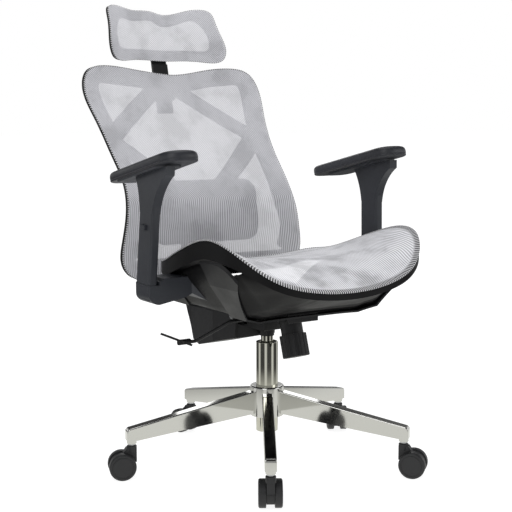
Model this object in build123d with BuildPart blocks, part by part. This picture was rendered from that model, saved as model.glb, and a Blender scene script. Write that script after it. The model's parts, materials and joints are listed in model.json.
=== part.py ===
from build123d import *

import os
from math import atan2, cos, degrees, radians, sin, sqrt

# Mesh task chair with a reclining back, height-adjustable arms and headrest, on a five-star base.
# Millimetres. +Z is up, the sitter faces -Y, the sitter's right is -X.
# The origin is on the floor, on the axis of the gas lift.

os.makedirs("parts", exist_ok=True)

# ---------------------------------------------------------------- clearances
RUN_GAP = 0.05          # radial clearance of a turning or sliding shaft
BODY_GAP = 0.4          # clearance between flat faces that slide past each other
HOLE_GAP = 0.2          # radial clearance of a bolt in its hole

# ---------------------------------------------------------------- base and casters
LEG_COUNT = 5
LEG_HEADING = -122.2    # heading of the first leg, degrees from +X
CASTER_CIRCLE = 317.6   # radius of the circle of caster stems
HUB_RADIUS = 39.0
HUB_TOP = 186.0
HUB_BOTTOM = 116.0
LEG_WIDTH = 25.0
LEG_WALL = 3.0
LEG_TOP_AT_HUB = 176.0
LEG_TOP_AT_TIP = 112.0
LEG_BOTTOM_AT_HUB = 124.0
LEG_BOTTOM_AT_TIP = 86.0
SOCKET_RADIUS = 12.0
SOCKET_BOTTOM = 79.0
STEM_RADIUS = 5.5
WHEEL_RADIUS = 30.0
WHEEL_WIDTH = 16.0
WHEEL_SPACE = 18.0      # gap between the two discs of a caster
CASTER_TRAIL = 22.0     # axle behind the stem
AXLE_RADIUS = 3.0
CASTER_HEADINGS = (58.0, -50.0, 60.0, 105.0, 160.0)

# ---------------------------------------------------------------- gas lift
STANDPIPE_RADIUS = 25.0
STANDPIPE_WALL = 2.5
STANDPIPE_BOTTOM = 80.0
STANDPIPE_TOP = 287.0
TUBE_RADIUS = 14.0
TUBE_WALL = 2.5
TUBE_BOTTOM = 100.0
TUBE_TOP = 350.0
LIFT_STROKE = 100.0
ROD_RADIUS = 5.0
BUSH_LENGTH = 80.0
BUSH_RECESS = 3.0
BEARING_HEIGHT = 6.0
PLUG_LENGTH = 25.0

# ---------------------------------------------------------------- tilt mechanism
MECH_HALF_WIDTH = 40.0
MECH_WALL = 3.0
MECH_TOP = 384.0
MECH_BOTTOM = 321.0
MECH_FRONT_BOTTOM = 352.0
MECH_FRONT = -142.0
MECH_REAR = 86.0
SLEEVE_RADIUS = 16.5
SLEEVE_BOTTOM = 301.0
SEAT_PIVOT = (-125.0, 368.0)    # Y, Z
BACK_PIVOT = (62.0, 343.0)      # Y, Z
SEAT_PIN_RADIUS = 5.0
BACK_PIN_RADIUS = 6.0
KNOB_TOP_Y = -92.0              # knob axis where it meets the housing
KNOB_TILT = 17.5                # degrees, the foot of the knob leans to the front
CUP_RADIUS = 24.5
CUP_LENGTH = 34.0
KNOB_RADIUS = 30.0
KNOB_LENGTH = 50.0
VALVE_PIN_RADIUS = 4.0
VALVE_TRAVEL = 3.0
LEVER_RADIUS = 4.0
LEVER_Y = 30.0
LEVER_Z = 336.0
ROCKER_X = -30.0                # fore-and-aft axis of the valve rocker
ROCKER_HALF_DEPTH = 7.0
TRUNNION_RADIUS = 2.5
LUG_THICKNESS = 3.0

# ---------------------------------------------------------------- seat
SHEET = 3.0             # thickness of the stretched mesh
SHEET_GAP = 0.4         # mesh to frame
EDGE_INSET = 1.5        # edge of a frame behind the edge of its mesh
SEAT_RIM = 27.0         # width of the seat rim in plan
PAN_FLOOR = 366.0       # underside of the seat shell
PAN_WALL = 4.0
CARRIER_SHEET = 3.0
CARRIER_HALF_WIDTH = 112.0
SEAT_BOLT_RADIUS = 3.0

# ---------------------------------------------------------------- arms
ARM_X = 305.0           # centre of the arm post at its foot
ARM_Y = 2.0
ARM_FOOT = 445.0        # foot of the sliding sleeve
ARM_LEAN_IN = 2.7       # degrees towards the sitter
ARM_LEAN_FRONT = 2.3    # degrees towards the front
POST_DEPTH = 50.0       # along Y
POST_THICKNESS = 11.0
SLEEVE_WALL = 4.6
SLEEVE_LENGTH = 236.0
ARM_TRAVEL = 70.0
PAD_LENGTH = 300.0
PAD_WIDTH = 88.0
PAD_THICKNESS = 24.0
PAD_TILT = 12.0
PAD_CENTRE = (277.0, 23.0, 690.0)   # |X|, Y, Z of the middle of the pad
BUTTON_HEIGHT = 120.0   # above the foot of the sleeve
BUTTON_SIZE = (16.0, 11.0)
BUTTON_PROUD = 6.0
BUTTON_TRAVEL = 3.0

# ---------------------------------------------------------------- back
BACK_AXIS_Y = -600.0    # vertical axis of the sideways curve of the back
BACK_BAND = 44.0        # width of the back frame
BACK_RING = 13.0        # thickness of the back frame
BRACE_THICKNESS = 14.0
SUPPORT_HALF_WIDTH = 55.0
SUPPORT_REAR_HALF_WIDTH = 34.0
LUMBAR_HALF_WIDTH = 150.0
LUMBAR_SHEET = 3.0
LUMBAR_RIB = 2.4
LUMBAR_PITCH = 9.0

# ---------------------------------------------------------------- headrest
STEM_WIDTH = 42.0
STEM_THICKNESS = 10.0
STEM_LEAN = 14.0        # degrees, follows the top of the back
HEAD_AXIS_Y = 180.0     # vertical axis of the sideways curve of the headrest
HEAD_RING = 10.0
HEAD_PIVOT = (512.0, 958.0)     # Y, Z
HEAD_PIN_RADIUS = 3.0


def save(piece, name):
    """Label a finished piece and write its STEP file."""
    piece.part.label = name
    export_step(piece.part, f"parts/{name}.step")


def outline_face(half, inset):
    """Closed outline, mirrored about the middle and drawn inside its edge.

    The half outline runs from the top of the sketch to its foot, on the +X side.
    """
    before = [(-half[1][0], half[1][1])] + half[:-1]
    after = half[1:] + [(-half[-2][0], half[-2][1])]
    points = []
    for (x, y), (x0, y0), (x1, y1) in zip(half, before, after):
        run, rise = x1 - x0, y1 - y0
        length = sqrt(run ** 2 + rise ** 2)
        points.append((x + inset * rise / length, y - inset * run / length))
    with BuildSketch() as shape:
        with BuildLine():
            Spline(*points, *[(-x, y) for x, y in reversed(points[1:-1])], periodic=True)
        make_face()
    return shape.sketch


# ================================================================ base
SIDE = Plane(origin=(0, 0, 0), x_dir=(0, 1, 0), z_dir=(1, 0, 0))      # Y across, Z up, seen from +X

tip_radius = CASTER_CIRCLE + SOCKET_RADIUS


leg_root = HUB_RADIUS - 14

with BuildPart() as leg:
    with BuildSketch(Plane.XZ):
        with BuildLine():
            Polyline(
                (leg_root, LEG_BOTTOM_AT_HUB),
                (leg_root, LEG_TOP_AT_HUB),
                (tip_radius, LEG_TOP_AT_TIP),
                (tip_radius, LEG_BOTTOM_AT_TIP),
                (tip_radius - 2 * SOCKET_RADIUS, LEG_BOTTOM_AT_TIP),
                close=True,
            )
        make_face()
    extrude(amount=LEG_WIDTH / 2, both=True)
    fillet(leg.edges().filter_by(Axis.Y).group_by(Axis.X)[-1].sort_by(Axis.Z)[-1], 9)
    fillet(leg.faces().sort_by(lambda f: f.normal_at().Z)[-1].edges().filter_by(
        lambda e: abs(e.center().Y) > LEG_WIDTH / 2 - 0.01), 2.5)
    # hollow underside between the hub and the caster socket
    with BuildSketch(Plane.XZ):
        with BuildLine():
            Polyline(
                (HUB_RADIUS + 12, 0),
                (HUB_RADIUS + 12, LEG_TOP_AT_HUB - 14),
                (tip_radius - 2 * SOCKET_RADIUS - 8, LEG_TOP_AT_TIP - 2),
                (tip_radius - 2 * SOCKET_RADIUS - 8, 0),
                close=True,
            )
        make_face()
    extrude(amount=LEG_WIDTH / 2 - LEG_WALL, both=True, mode=Mode.SUBTRACT)
    with BuildSketch(Plane.XY.offset(SOCKET_BOTTOM)):
        with Locations((CASTER_CIRCLE, 0)):
            Circle(SOCKET_RADIUS - 1)
    extrude(amount=LEG_TOP_AT_TIP - 8 - SOCKET_BOTTOM)

stem_top = LEG_TOP_AT_TIP - 6

with BuildPart() as star_base:
    with BuildSketch(Plane.XY.offset(HUB_BOTTOM)):
        Circle(HUB_RADIUS)
    extrude(amount=HUB_TOP - HUB_BOTTOM)
    fillet(star_base.edges().filter_by(GeomType.CIRCLE).group_by(Axis.Z)[-1], 4)
    fillet(star_base.edges().filter_by(GeomType.CIRCLE).group_by(Axis.Z)[0], 2)
    with PolarLocations(0, LEG_COUNT, LEG_HEADING):
        add(leg.part)
    with BuildSketch(Plane.XY.offset(HUB_BOTTOM - 60)):
        Circle(STANDPIPE_RADIUS)
    extrude(amount=HUB_TOP - HUB_BOTTOM + 120, mode=Mode.SUBTRACT)
    with BuildSketch(Plane.XY.offset(SOCKET_BOTTOM - 1)):
        with PolarLocations(CASTER_CIRCLE, LEG_COUNT, LEG_HEADING):
            Circle(STEM_RADIUS)
    extrude(amount=stem_top - SOCKET_BOTTOM + 1, mode=Mode.SUBTRACT)
save(star_base, "star_base")

hood_top = SOCKET_BOTTOM - 5
hood_floor = 44.0

with BuildPart() as caster_stems:
    with BuildSketch(Plane.XY.offset(hood_floor)):
        with PolarLocations(CASTER_CIRCLE, LEG_COUNT, LEG_HEADING):
            Circle(STEM_RADIUS)
    extrude(amount=stem_top - hood_floor)
    with BuildSketch(Plane.XY.offset(SOCKET_BOTTOM - 3)):
        with PolarLocations(CASTER_CIRCLE, LEG_COUNT, LEG_HEADING):
            Circle(STEM_RADIUS + 3)
    extrude(amount=3)
save(caster_stems, "caster_stems")


def caster_plane(index):
    """Plane on a caster: origin on the floor below the stem, X towards the axle."""
    leg_angle = radians(LEG_HEADING + index * 360 / LEG_COUNT)
    heading = radians(CASTER_HEADINGS[index])
    foot = (CASTER_CIRCLE * cos(leg_angle), CASTER_CIRCLE * sin(leg_angle), 0)
    return Plane(origin=foot, x_dir=(cos(heading), sin(heading), 0), z_dir=(0, 0, 1))


hood_half = WHEEL_SPACE / 2 - BODY_GAP

with BuildPart() as hood:
    with BuildSketch(Plane.XZ):
        with Locations((CASTER_TRAIL, WHEEL_RADIUS)):
            Circle(WHEEL_RADIUS - 3)
        with BuildLine():
            Polyline(
                (-SOCKET_RADIUS + 2, hood_floor - 6),
                (-SOCKET_RADIUS + 2, hood_top - 4),
                (SOCKET_RADIUS, hood_top - 4),
                (CASTER_TRAIL, 2 * WHEEL_RADIUS - 4),
                (CASTER_TRAIL, hood_floor - 14),
                close=True,
            )
        make_face()
        with Locations((CASTER_TRAIL, 0)):
            Rectangle(4 * WHEEL_RADIUS, WHEEL_RADIUS - 4, mode=Mode.SUBTRACT)
    extrude(amount=hood_half, both=True)
    with BuildSketch(Plane.XY.offset(hood_top - 14)):
        Circle(SOCKET_RADIUS - 1)
    extrude(amount=14)
    fillet(hood.faces().sort_by(Axis.Z)[-1].edges(), 1.5)
    with BuildSketch(Plane.XY.offset(hood_floor - 0.5)):
        Circle(STEM_RADIUS + RUN_GAP)
    extrude(amount=hood_top - hood_floor + 1, mode=Mode.SUBTRACT)
    with BuildSketch(Plane.XZ):
        with Locations((CASTER_TRAIL, WHEEL_RADIUS)):
            Circle(AXLE_RADIUS)
    extrude(amount=WHEEL_RADIUS, both=True, mode=Mode.SUBTRACT)

wheel_inner = WHEEL_SPACE / 2
wheel_outer = wheel_inner + WHEEL_WIDTH
axle_half = wheel_outer - 4

with BuildPart() as axle:
    with BuildSketch(Plane.XZ):
        with Locations((CASTER_TRAIL, WHEEL_RADIUS)):
            Circle(AXLE_RADIUS)
    extrude(amount=axle_half, both=True)

WHEEL_PLANE = Plane(origin=(CASTER_TRAIL, 0, WHEEL_RADIUS), x_dir=(1, 0, 0), z_dir=(0, 1, 0))

with BuildPart() as disc:
    with BuildSketch(WHEEL_PLANE.offset(wheel_inner)):
        Circle(WHEEL_RADIUS)
    extrude(amount=WHEEL_WIDTH)
    fillet(disc.edges().filter_by(GeomType.CIRCLE).sort_by(Axis.Y)[-1], 4)
    fillet(disc.edges().filter_by(GeomType.CIRCLE).sort_by(Axis.Y)[0], 1.5)
    # the outer face is dished inside its tread
    with BuildSketch(WHEEL_PLANE.offset(wheel_outer - 1)):
        Circle(WHEEL_RADIUS - 6)
        Circle(WHEEL_RADIUS - 8, mode=Mode.SUBTRACT)
    extrude(amount=2, mode=Mode.SUBTRACT)
    with BuildSketch(WHEEL_PLANE.offset(wheel_inner - 1)):
        Circle(AXLE_RADIUS + RUN_GAP)
    extrude(amount=axle_half + BODY_GAP - wheel_inner + 1, mode=Mode.SUBTRACT)

for index in range(LEG_COUNT):
    place = caster_plane(index).location
    number = index + 1
    with BuildPart() as caster_hood:
        with Locations(place):
            add(hood.part)
    save(caster_hood, f"caster_hood_{number}")
    with BuildPart() as caster_axle:
        with Locations(place):
            add(axle.part)
    save(caster_axle, f"caster_axle_{number}")
    with BuildPart() as caster_wheels:
        with Locations(place):
            add(disc.part)
            add(mirror(disc.part, about=Plane.XZ, mode=Mode.PRIVATE))
    save(caster_wheels, f"caster_wheels_{number}")

# ================================================================ gas lift
bush_radius = STANDPIPE_RADIUS - STANDPIPE_WALL
pipe_floor = STANDPIPE_BOTTOM + 4

with BuildPart() as gas_standpipe:
    with BuildSketch(Plane.XY.offset(STANDPIPE_BOTTOM)):
        Circle(STANDPIPE_RADIUS)
    extrude(amount=STANDPIPE_TOP - STANDPIPE_BOTTOM)
    fillet(gas_standpipe.edges().filter_by(GeomType.CIRCLE).group_by(Axis.Z)[-1], 1)
    with BuildSketch(Plane.XY.offset(pipe_floor)):
        Circle(bush_radius)
    extrude(amount=STANDPIPE_TOP - pipe_floor, mode=Mode.SUBTRACT)
    with BuildSketch(Plane.XY.offset(STANDPIPE_BOTTOM)):
        Circle(ROD_RADIUS + RUN_GAP)
    extrude(amount=pipe_floor - STANDPIPE_BOTTOM, mode=Mode.SUBTRACT)
save(gas_standpipe, "gas_standpipe")

with BuildPart() as guide_bush:
    with BuildSketch(Plane.XY.offset(STANDPIPE_TOP - BUSH_RECESS - BUSH_LENGTH)):
        Circle(bush_radius)
        Circle(TUBE_RADIUS + RUN_GAP, mode=Mode.SUBTRACT)
    extrude(amount=BUSH_LENGTH)
save(guide_bush, "guide_bush")

bearing_top = pipe_floor + BEARING_HEIGHT

with BuildPart() as thrust_bearing:
    with BuildSketch(Plane.XY.offset(pipe_floor)):
        Circle(ROD_RADIUS + 6)
        Circle(ROD_RADIUS + 1, mode=Mode.SUBTRACT)
    extrude(amount=BEARING_HEIGHT)
save(thrust_bearing, "thrust_bearing")

rod_foot = STANDPIPE_BOTTOM - 8
rod_top = TUBE_BOTTOM + PLUG_LENGTH + LIFT_STROKE + 20

with BuildPart() as piston_rod:
    with BuildSketch(Plane.XY.offset(rod_foot)):
        Circle(ROD_RADIUS)
    extrude(amount=rod_top - rod_foot)
    with BuildSketch(Plane.XY.offset(bearing_top + RUN_GAP)):
        Circle(ROD_RADIUS + 4)
    extrude(amount=4)
    with BuildSketch(Plane.XY.offset(rod_top - 12)):
        Circle(TUBE_RADIUS - TUBE_WALL - RUN_GAP)
    extrude(amount=12)
save(piston_rod, "piston_rod")

with BuildPart() as rod_clip:
    with BuildSketch(Plane.XY.offset(STANDPIPE_BOTTOM - 3)):
        Circle(ROD_RADIUS + 5)
        Circle(ROD_RADIUS, mode=Mode.SUBTRACT)
        with Locations((ROD_RADIUS + 3, 0)):
            Rectangle(8, 2 * ROD_RADIUS - 3, mode=Mode.SUBTRACT)
    extrude(amount=2)
save(rod_clip, "rod_clip")

with BuildPart() as pressure_tube:
    with BuildSketch(Plane.XY.offset(TUBE_BOTTOM)):
        Circle(TUBE_RADIUS)
    extrude(amount=TUBE_TOP - TUBE_BOTTOM)
    fillet(pressure_tube.edges().filter_by(GeomType.CIRCLE).group_by(Axis.Z)[-1], 1)
    with BuildSketch(Plane.XY.offset(TUBE_BOTTOM + PLUG_LENGTH)):
        Circle(TUBE_RADIUS - TUBE_WALL)
    extrude(amount=TUBE_TOP - 18 - TUBE_BOTTOM - PLUG_LENGTH, mode=Mode.SUBTRACT)
    with BuildSketch(Plane.XY.offset(TUBE_BOTTOM)):
        Circle(ROD_RADIUS + RUN_GAP)
    extrude(amount=PLUG_LENGTH, mode=Mode.SUBTRACT)
    with BuildSketch(Plane.XY.offset(TUBE_TOP - 18)):
        Circle(VALVE_PIN_RADIUS + RUN_GAP)
    extrude(amount=18, mode=Mode.SUBTRACT)
save(pressure_tube, "pressure_tube")

pin_top = TUBE_TOP + VALVE_TRAVEL + 2

with BuildPart() as valve_pin:
    with BuildSketch(Plane.XY.offset(TUBE_TOP - 14)):
        Circle(VALVE_PIN_RADIUS)
    extrude(amount=pin_top - TUBE_TOP + 14)
    fillet(valve_pin.faces().sort_by(Axis.Z)[-1].edges(), 1)
save(valve_pin, "valve_pin")

# ================================================================ tilt mechanism
seat_y, seat_z = SEAT_PIVOT
back_y, back_z = BACK_PIVOT
mech_step_y = KNOB_TOP_Y + CUP_RADIUS + 12

with BuildPart() as mechanism_housing:
    with BuildSketch(SIDE):
        with BuildLine():
            Polyline(
                (MECH_FRONT, MECH_FRONT_BOTTOM),
                (MECH_FRONT, MECH_TOP),
                (MECH_REAR - 12, MECH_TOP),
                (MECH_REAR, MECH_TOP - 14),
                (MECH_REAR, MECH_BOTTOM),
                (mech_step_y + 10, MECH_BOTTOM),
                (mech_step_y, MECH_FRONT_BOTTOM),
                close=True,
            )
        make_face()
    extrude(amount=MECH_HALF_WIDTH, both=True)
    fillet(mechanism_housing.edges().filter_by(Axis.X), 3)
    with BuildSketch(SIDE):
        with BuildLine():
            Polyline(
                (MECH_FRONT + MECH_WALL, MECH_FRONT_BOTTOM + MECH_WALL),
                (MECH_FRONT + MECH_WALL, MECH_TOP - MECH_WALL),
                (MECH_REAR - MECH_WALL - 14, MECH_TOP - MECH_WALL),
                (MECH_REAR - MECH_WALL, MECH_TOP - 16 - MECH_WALL),
                (MECH_REAR - MECH_WALL, MECH_BOTTOM + MECH_WALL),
                (mech_step_y + 14, MECH_BOTTOM + MECH_WALL),
                (mech_step_y + 4, MECH_FRONT_BOTTOM + MECH_WALL),
                close=True,
            )
        make_face()
    extrude(amount=MECH_HALF_WIDTH - MECH_WALL, both=True, mode=Mode.SUBTRACT)
    # socket that grips the pressure tube
    with BuildSketch(Plane.XY.offset(MECH_BOTTOM)):
        Circle(TUBE_RADIUS + 5)
    extrude(amount=TUBE_TOP - 4 - MECH_BOTTOM)
    with BuildSketch(Plane.XY.offset(MECH_BOTTOM - 10)):
        Circle(TUBE_RADIUS)
    extrude(amount=TUBE_TOP - MECH_BOTTOM + 10, mode=Mode.SUBTRACT)
    # lugs that carry the trunnions of the valve rocker
    for start in (LEVER_Y - ROCKER_HALF_DEPTH - BODY_GAP - LUG_THICKNESS, LEVER_Y + ROCKER_HALF_DEPTH + BODY_GAP):
        with BuildSketch(Plane.XZ.offset(-start)):
            with Locations((ROCKER_X, LEVER_Z)):
                Circle(2 * TRUNNION_RADIUS)
            with Locations((ROCKER_X, (LEVER_Z + MECH_BOTTOM) / 2)):
                Rectangle(4 * TRUNNION_RADIUS, LEVER_Z - MECH_BOTTOM)
            with Locations((ROCKER_X, LEVER_Z)):
                Circle(TRUNNION_RADIUS + RUN_GAP, mode=Mode.SUBTRACT)
        extrude(amount=-LUG_THICKNESS)
    # pivot pins pass right through
    with BuildSketch(SIDE):
        with Locations(SEAT_PIVOT):
            Circle(SEAT_PIN_RADIUS)
        with Locations(BACK_PIVOT):
            Circle(BACK_PIN_RADIUS)
    extrude(amount=MECH_HALF_WIDTH + 5, both=True, mode=Mode.SUBTRACT)
    # window for the lever rod, in the sitter's right wall
    with BuildSketch(SIDE.offset(-MECH_HALF_WIDTH - 1)):
        with Locations((LEVER_Y, LEVER_Z)):
            RectangleRounded(4 * LEVER_RADIUS, 5 * LEVER_RADIUS, LEVER_RADIUS)
    extrude(amount=MECH_WALL + 2, mode=Mode.SUBTRACT)
    # mouth of the spring cup
    with BuildSketch(Plane.XY.offset(MECH_FRONT_BOTTOM - 1)):
        with Locations((0, KNOB_TOP_Y)):
            Circle(CUP_RADIUS - 4)
    extrude(amount=MECH_WALL + 2, mode=Mode.SUBTRACT)
save(mechanism_housing, "mechanism_housing")

with BuildPart() as column_sleeve:
    with BuildSketch(Plane.XY.offset(SLEEVE_BOTTOM)):
        Circle(SLEEVE_RADIUS)
        Circle(TUBE_RADIUS + HOLE_GAP, mode=Mode.SUBTRACT)
    extrude(amount=MECH_BOTTOM - SLEEVE_BOTTOM)
    fillet(column_sleeve.edges().group_by(Axis.Z)[0], 0.8)
save(column_sleeve, "column_sleeve")

KNOB_PLANE = Plane(
    origin=(0, KNOB_TOP_Y, MECH_FRONT_BOTTOM),
    x_dir=(1, 0, 0),
    z_dir=(0, -sin(radians(KNOB_TILT)), -cos(radians(KNOB_TILT))),
)
cup_wall = 3.0
bolt_radius = 5.0

with BuildPart() as spring_cup:
    with BuildSketch(KNOB_PLANE.offset(-20)):
        Circle(CUP_RADIUS)
    extrude(amount=CUP_LENGTH + 20)
    with BuildSketch(KNOB_PLANE.offset(-30)):
        Circle(CUP_RADIUS - cup_wall)
    extrude(amount=CUP_LENGTH + 30 - cup_wall, mode=Mode.SUBTRACT)
    with BuildSketch(KNOB_PLANE):
        Circle(bolt_radius + RUN_GAP)
    extrude(amount=CUP_LENGTH + 10, mode=Mode.SUBTRACT)
    split(bisect_by=Plane.XY.offset(MECH_FRONT_BOTTOM), keep=Keep.BOTTOM)
save(spring_cup, "spring_cup")

knob_start = CUP_LENGTH + BODY_GAP

with BuildPart() as tension_knob:
    with BuildSketch(KNOB_PLANE.offset(knob_start)):
        Circle(KNOB_RADIUS)
        # finger flutes round the rim
        with PolarLocations(KNOB_RADIUS + 2.2, 18):
            Circle(3.4, mode=Mode.SUBTRACT)
    extrude(amount=KNOB_LENGTH)
    chamfer(tension_knob.faces().sort_by(Axis.Z)[0].outer_wire().edges(), 1.5)
    with BuildSketch(KNOB_PLANE.offset(knob_start)):
        Circle(bolt_radius)
    extrude(amount=KNOB_LENGTH / 2, mode=Mode.SUBTRACT)
save(tension_knob, "tension_knob")

bolt_head = 4.0

with BuildPart() as tension_bolt:
    with BuildSketch(KNOB_PLANE.offset(-4)):
        Circle(bolt_radius)
    extrude(amount=knob_start + KNOB_LENGTH / 2 + 4)
    with BuildSketch(KNOB_PLANE.offset(2)):
        Circle(bolt_radius + 7)
    extrude(amount=bolt_head)
save(tension_bolt, "tension_bolt")

SPRING_WIRE = 2.0
SPRING_TURNS = 4
spring_length = CUP_LENGTH - cup_wall - bolt_head - 2 - 2 * SPRING_WIRE - 3
spring_plane = KNOB_PLANE.offset(bolt_head + 2 + SPRING_WIRE + 1)
spring_radius = CUP_RADIUS - cup_wall - SPRING_WIRE - 3

spring_turns = Helix(pitch=spring_length / SPRING_TURNS, height=spring_length, radius=spring_radius,
                     mode=Mode.PRIVATE)
spring_path = spring_plane.location * spring_turns

with BuildPart() as tension_spring:
    with BuildSketch(Plane(origin=spring_path @ 0, z_dir=spring_path % 0)):
        Circle(SPRING_WIRE)
    sweep(path=spring_path, is_frenet=True)
save(tension_spring, "tension_spring")

seat_pin_half = MECH_HALF_WIDTH + BODY_GAP + CARRIER_SHEET + 1

with BuildPart() as seat_pivot_pin:
    with BuildSketch(SIDE):
        with Locations(SEAT_PIVOT):
            Circle(SEAT_PIN_RADIUS)
    extrude(amount=seat_pin_half, both=True)
save(seat_pivot_pin, "seat_pivot_pin")

cheek_inner = MECH_HALF_WIDTH + CARRIER_SHEET + 5

with BuildPart() as back_pivot_pin:
    with BuildSketch(SIDE.offset(-SUPPORT_HALF_WIDTH - 1)):
        with Locations(BACK_PIVOT):
            Circle(BACK_PIN_RADIUS)
    extrude(amount=2 * (SUPPORT_HALF_WIDTH + 1))
    for side in (-1, 1):
        # the head and the clip that hold the pin
        start = SUPPORT_HALF_WIDTH + BODY_GAP if side > 0 else -SUPPORT_HALF_WIDTH - BODY_GAP - 2
        with BuildSketch(SIDE.offset(start)):
            with Locations(BACK_PIVOT):
                Circle(BACK_PIN_RADIUS + 3)
        extrude(amount=2)
save(back_pivot_pin, "back_pivot_pin")

# the rocker turns on its trunnions, presses the valve pin and holds the lever
rocker_floor = pin_top + BODY_GAP
rocker_rear = LEVER_Y + ROCKER_HALF_DEPTH

with BuildPart() as valve_rocker:
    with BuildSketch(Plane.XZ.offset(-rocker_rear)):
        with Locations((ROCKER_X, LEVER_Z)):
            Circle(LEVER_RADIUS + 3)
    extrude(amount=2 * ROCKER_HALF_DEPTH)
    with BuildSketch(Plane.XZ.offset(-rocker_rear - BODY_GAP - LUG_THICKNESS)):
        with Locations((ROCKER_X, LEVER_Z)):
            Circle(TRUNNION_RADIUS)
    extrude(amount=2 * (ROCKER_HALF_DEPTH + BODY_GAP + LUG_THICKNESS))
    with BuildSketch(Plane.XZ.offset(-rocker_rear)):
        with BuildLine():
            Polyline(
                (ROCKER_X - 6, LEVER_Z),
                (ROCKER_X - 6, rocker_floor + 5),
                (ROCKER_X + 8, rocker_floor + 5),
                (ROCKER_X + 8, LEVER_Z),
                close=True,
            )
        make_face()
    extrude(amount=2 * ROCKER_HALF_DEPTH)
    # finger that reaches forward over the valve pin
    with BuildSketch(Plane.XY.offset(rocker_floor)):
        with BuildLine():
            Polyline(
                (ROCKER_X - 6, rocker_rear),
                (ROCKER_X - 6, LEVER_Y - ROCKER_HALF_DEPTH),
                (-6, -6),
                (6, -6),
                (6, 6),
                (ROCKER_X + 8, rocker_rear),
                close=True,
            )
        make_face()
    extrude(amount=5)
    with BuildSketch(SIDE.offset(ROCKER_X - 12)):
        with Locations((LEVER_Y, LEVER_Z)):
            Circle(LEVER_RADIUS + RUN_GAP)
    extrude(amount=24, mode=Mode.SUBTRACT)
save(valve_rocker, "valve_rocker")

# bent rod that ends in a flat paddle on the sitter's right
lever_route = [
    (ROCKER_X + 8, LEVER_Y, LEVER_Z),
    (-SUPPORT_HALF_WIDTH - 24, LEVER_Y, LEVER_Z),
    (-140, 84, 288),
    (-176, 92, 288),
]
PADDLE_LENGTH = 62.0
PADDLE_WIDTH = 30.0
PADDLE_THICKNESS = 5.0

with BuildPart() as height_lever:
    with BuildLine() as lever_line:
        FilletPolyline(*lever_route, radius=14)
    with BuildSketch(Plane(origin=lever_line.line @ 0, z_dir=lever_line.line % 0)):
        Circle(LEVER_RADIUS)
    sweep(path=lever_line.line)
    # flat paddle, raised towards its tip
    paddle_plane = Plane(origin=(-170, 92, 289), x_dir=(-cos(radians(24)), 0, sin(radians(24))),
                         z_dir=(sin(radians(24)), 0, cos(radians(24))))
    with BuildSketch(paddle_plane.offset(-PADDLE_THICKNESS / 2)):
        with Locations((PADDLE_LENGTH / 2 - 4, 0)):
            SlotOverall(PADDLE_LENGTH, PADDLE_WIDTH)
        with Locations((-10, 0)):
            RectangleRounded(34, 13, 5)
    extrude(amount=PADDLE_THICKNESS)
    with BuildSketch(Plane.YZ.offset(-180)):
        with Locations((92, 288)):
            RectangleRounded(13, 12, 4)
    extrude(amount=30)
save(height_lever, "height_lever")

# ================================================================ seat
# Height of the seat surface at stations along Y: in the middle, and at the side edges.
SEAT_STATIONS = [
    (-335, 436, 486),
    (-300, 450, 506),
    (-260, 468, 530),
    (-200, 484, 547),
    (-150, 488, 547),
    (-90, 487, 535),
    (-30, 481, 518),
    (30, 474, 499),
    (90, 467, 485),
    (170, 464, 478),
]
SEAT_EDGE = 250.0       # |X| where the side height applies
SEAT_CROSS = ((0.0, 0.0), (0.5, 0.16), (0.76, 0.49), (1.0, 1.0), (1.12, 1.32))
# Half of the seat outline in plan, rear to front.
SEAT_OUTLINE = [(0, 156), (150, 150), (208, 118), (232, 50), (248, -50),
                (256, -150), (247, -228), (200, -283), (110, -307), (0, -316)]
# Depth of the rim below the mesh: front, hump at the sides, rear.
RIM_DEPTH_FRONT = 17.0
RIM_DEPTH_SIDE = 40.0
RIM_DEPTH_REAR = 22.0


def seat_face(station, drop_top, drop_middle, drop_side):
    """Cross-section of the seat at one station, between two curves below the seat surface."""
    y, middle, side = station
    rise = side - middle
    top = [(x * SEAT_EDGE, middle + share * rise - drop_top) for x, share in SEAT_CROSS]
    low = [(x * SEAT_EDGE, middle + share * rise - drop_middle - min(x, 1) ** 3 * (drop_side - drop_middle))
           for x, share in SEAT_CROSS]
    with BuildSketch(Plane.XZ.offset(-y)) as section:
        with BuildLine():
            upper = Spline(*[(-x, z) for x, z in reversed(top)], *top[1:])
            lower = Spline(*[(-x, z) for x, z in reversed(low)], *low[1:])
            Line(upper @ 0, lower @ 0)
            Line(upper @ 1, lower @ 1)
        make_face()
    return section.sketch


def rim_depth_at(y):
    """Depth of the side of the rim: shallow at the front, deepest under the hump."""
    if y < -200:
        return RIM_DEPTH_FRONT + (RIM_DEPTH_SIDE - RIM_DEPTH_FRONT) * (y + 335) / 135
    if y > 30:
        return RIM_DEPTH_SIDE + (RIM_DEPTH_REAR - RIM_DEPTH_SIDE) * (y - 30) / 140
    return RIM_DEPTH_SIDE


with BuildPart() as seat_mesh:
    for station in SEAT_STATIONS:
        add(seat_face(station, 0, SHEET, SHEET))
    loft()
    with BuildSketch(Plane.XY.offset(300)):
        add(outline_face(SEAT_OUTLINE, 0))
    extrude(amount=400, mode=Mode.INTERSECT)
save(seat_mesh, "seat_mesh")

with BuildPart() as seat_frame:
    for station in SEAT_STATIONS:
        side_depth = rim_depth_at(station[0])
        middle_depth = RIM_DEPTH_REAR if station[0] > 60 else RIM_DEPTH_FRONT
        add(seat_face(station, SHEET + SHEET_GAP, middle_depth, side_depth))
    loft()
    with BuildSketch(Plane.XY.offset(300)):
        add(outline_face(SEAT_OUTLINE, EDGE_INSET))
    extrude(amount=400, mode=Mode.INTERSECT)
    with BuildSketch(Plane.XY.offset(300)):
        add(outline_face(SEAT_OUTLINE, EDGE_INSET + SEAT_RIM))
    extrude(amount=400, mode=Mode.SUBTRACT)
save(seat_frame, "seat_frame")

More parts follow.
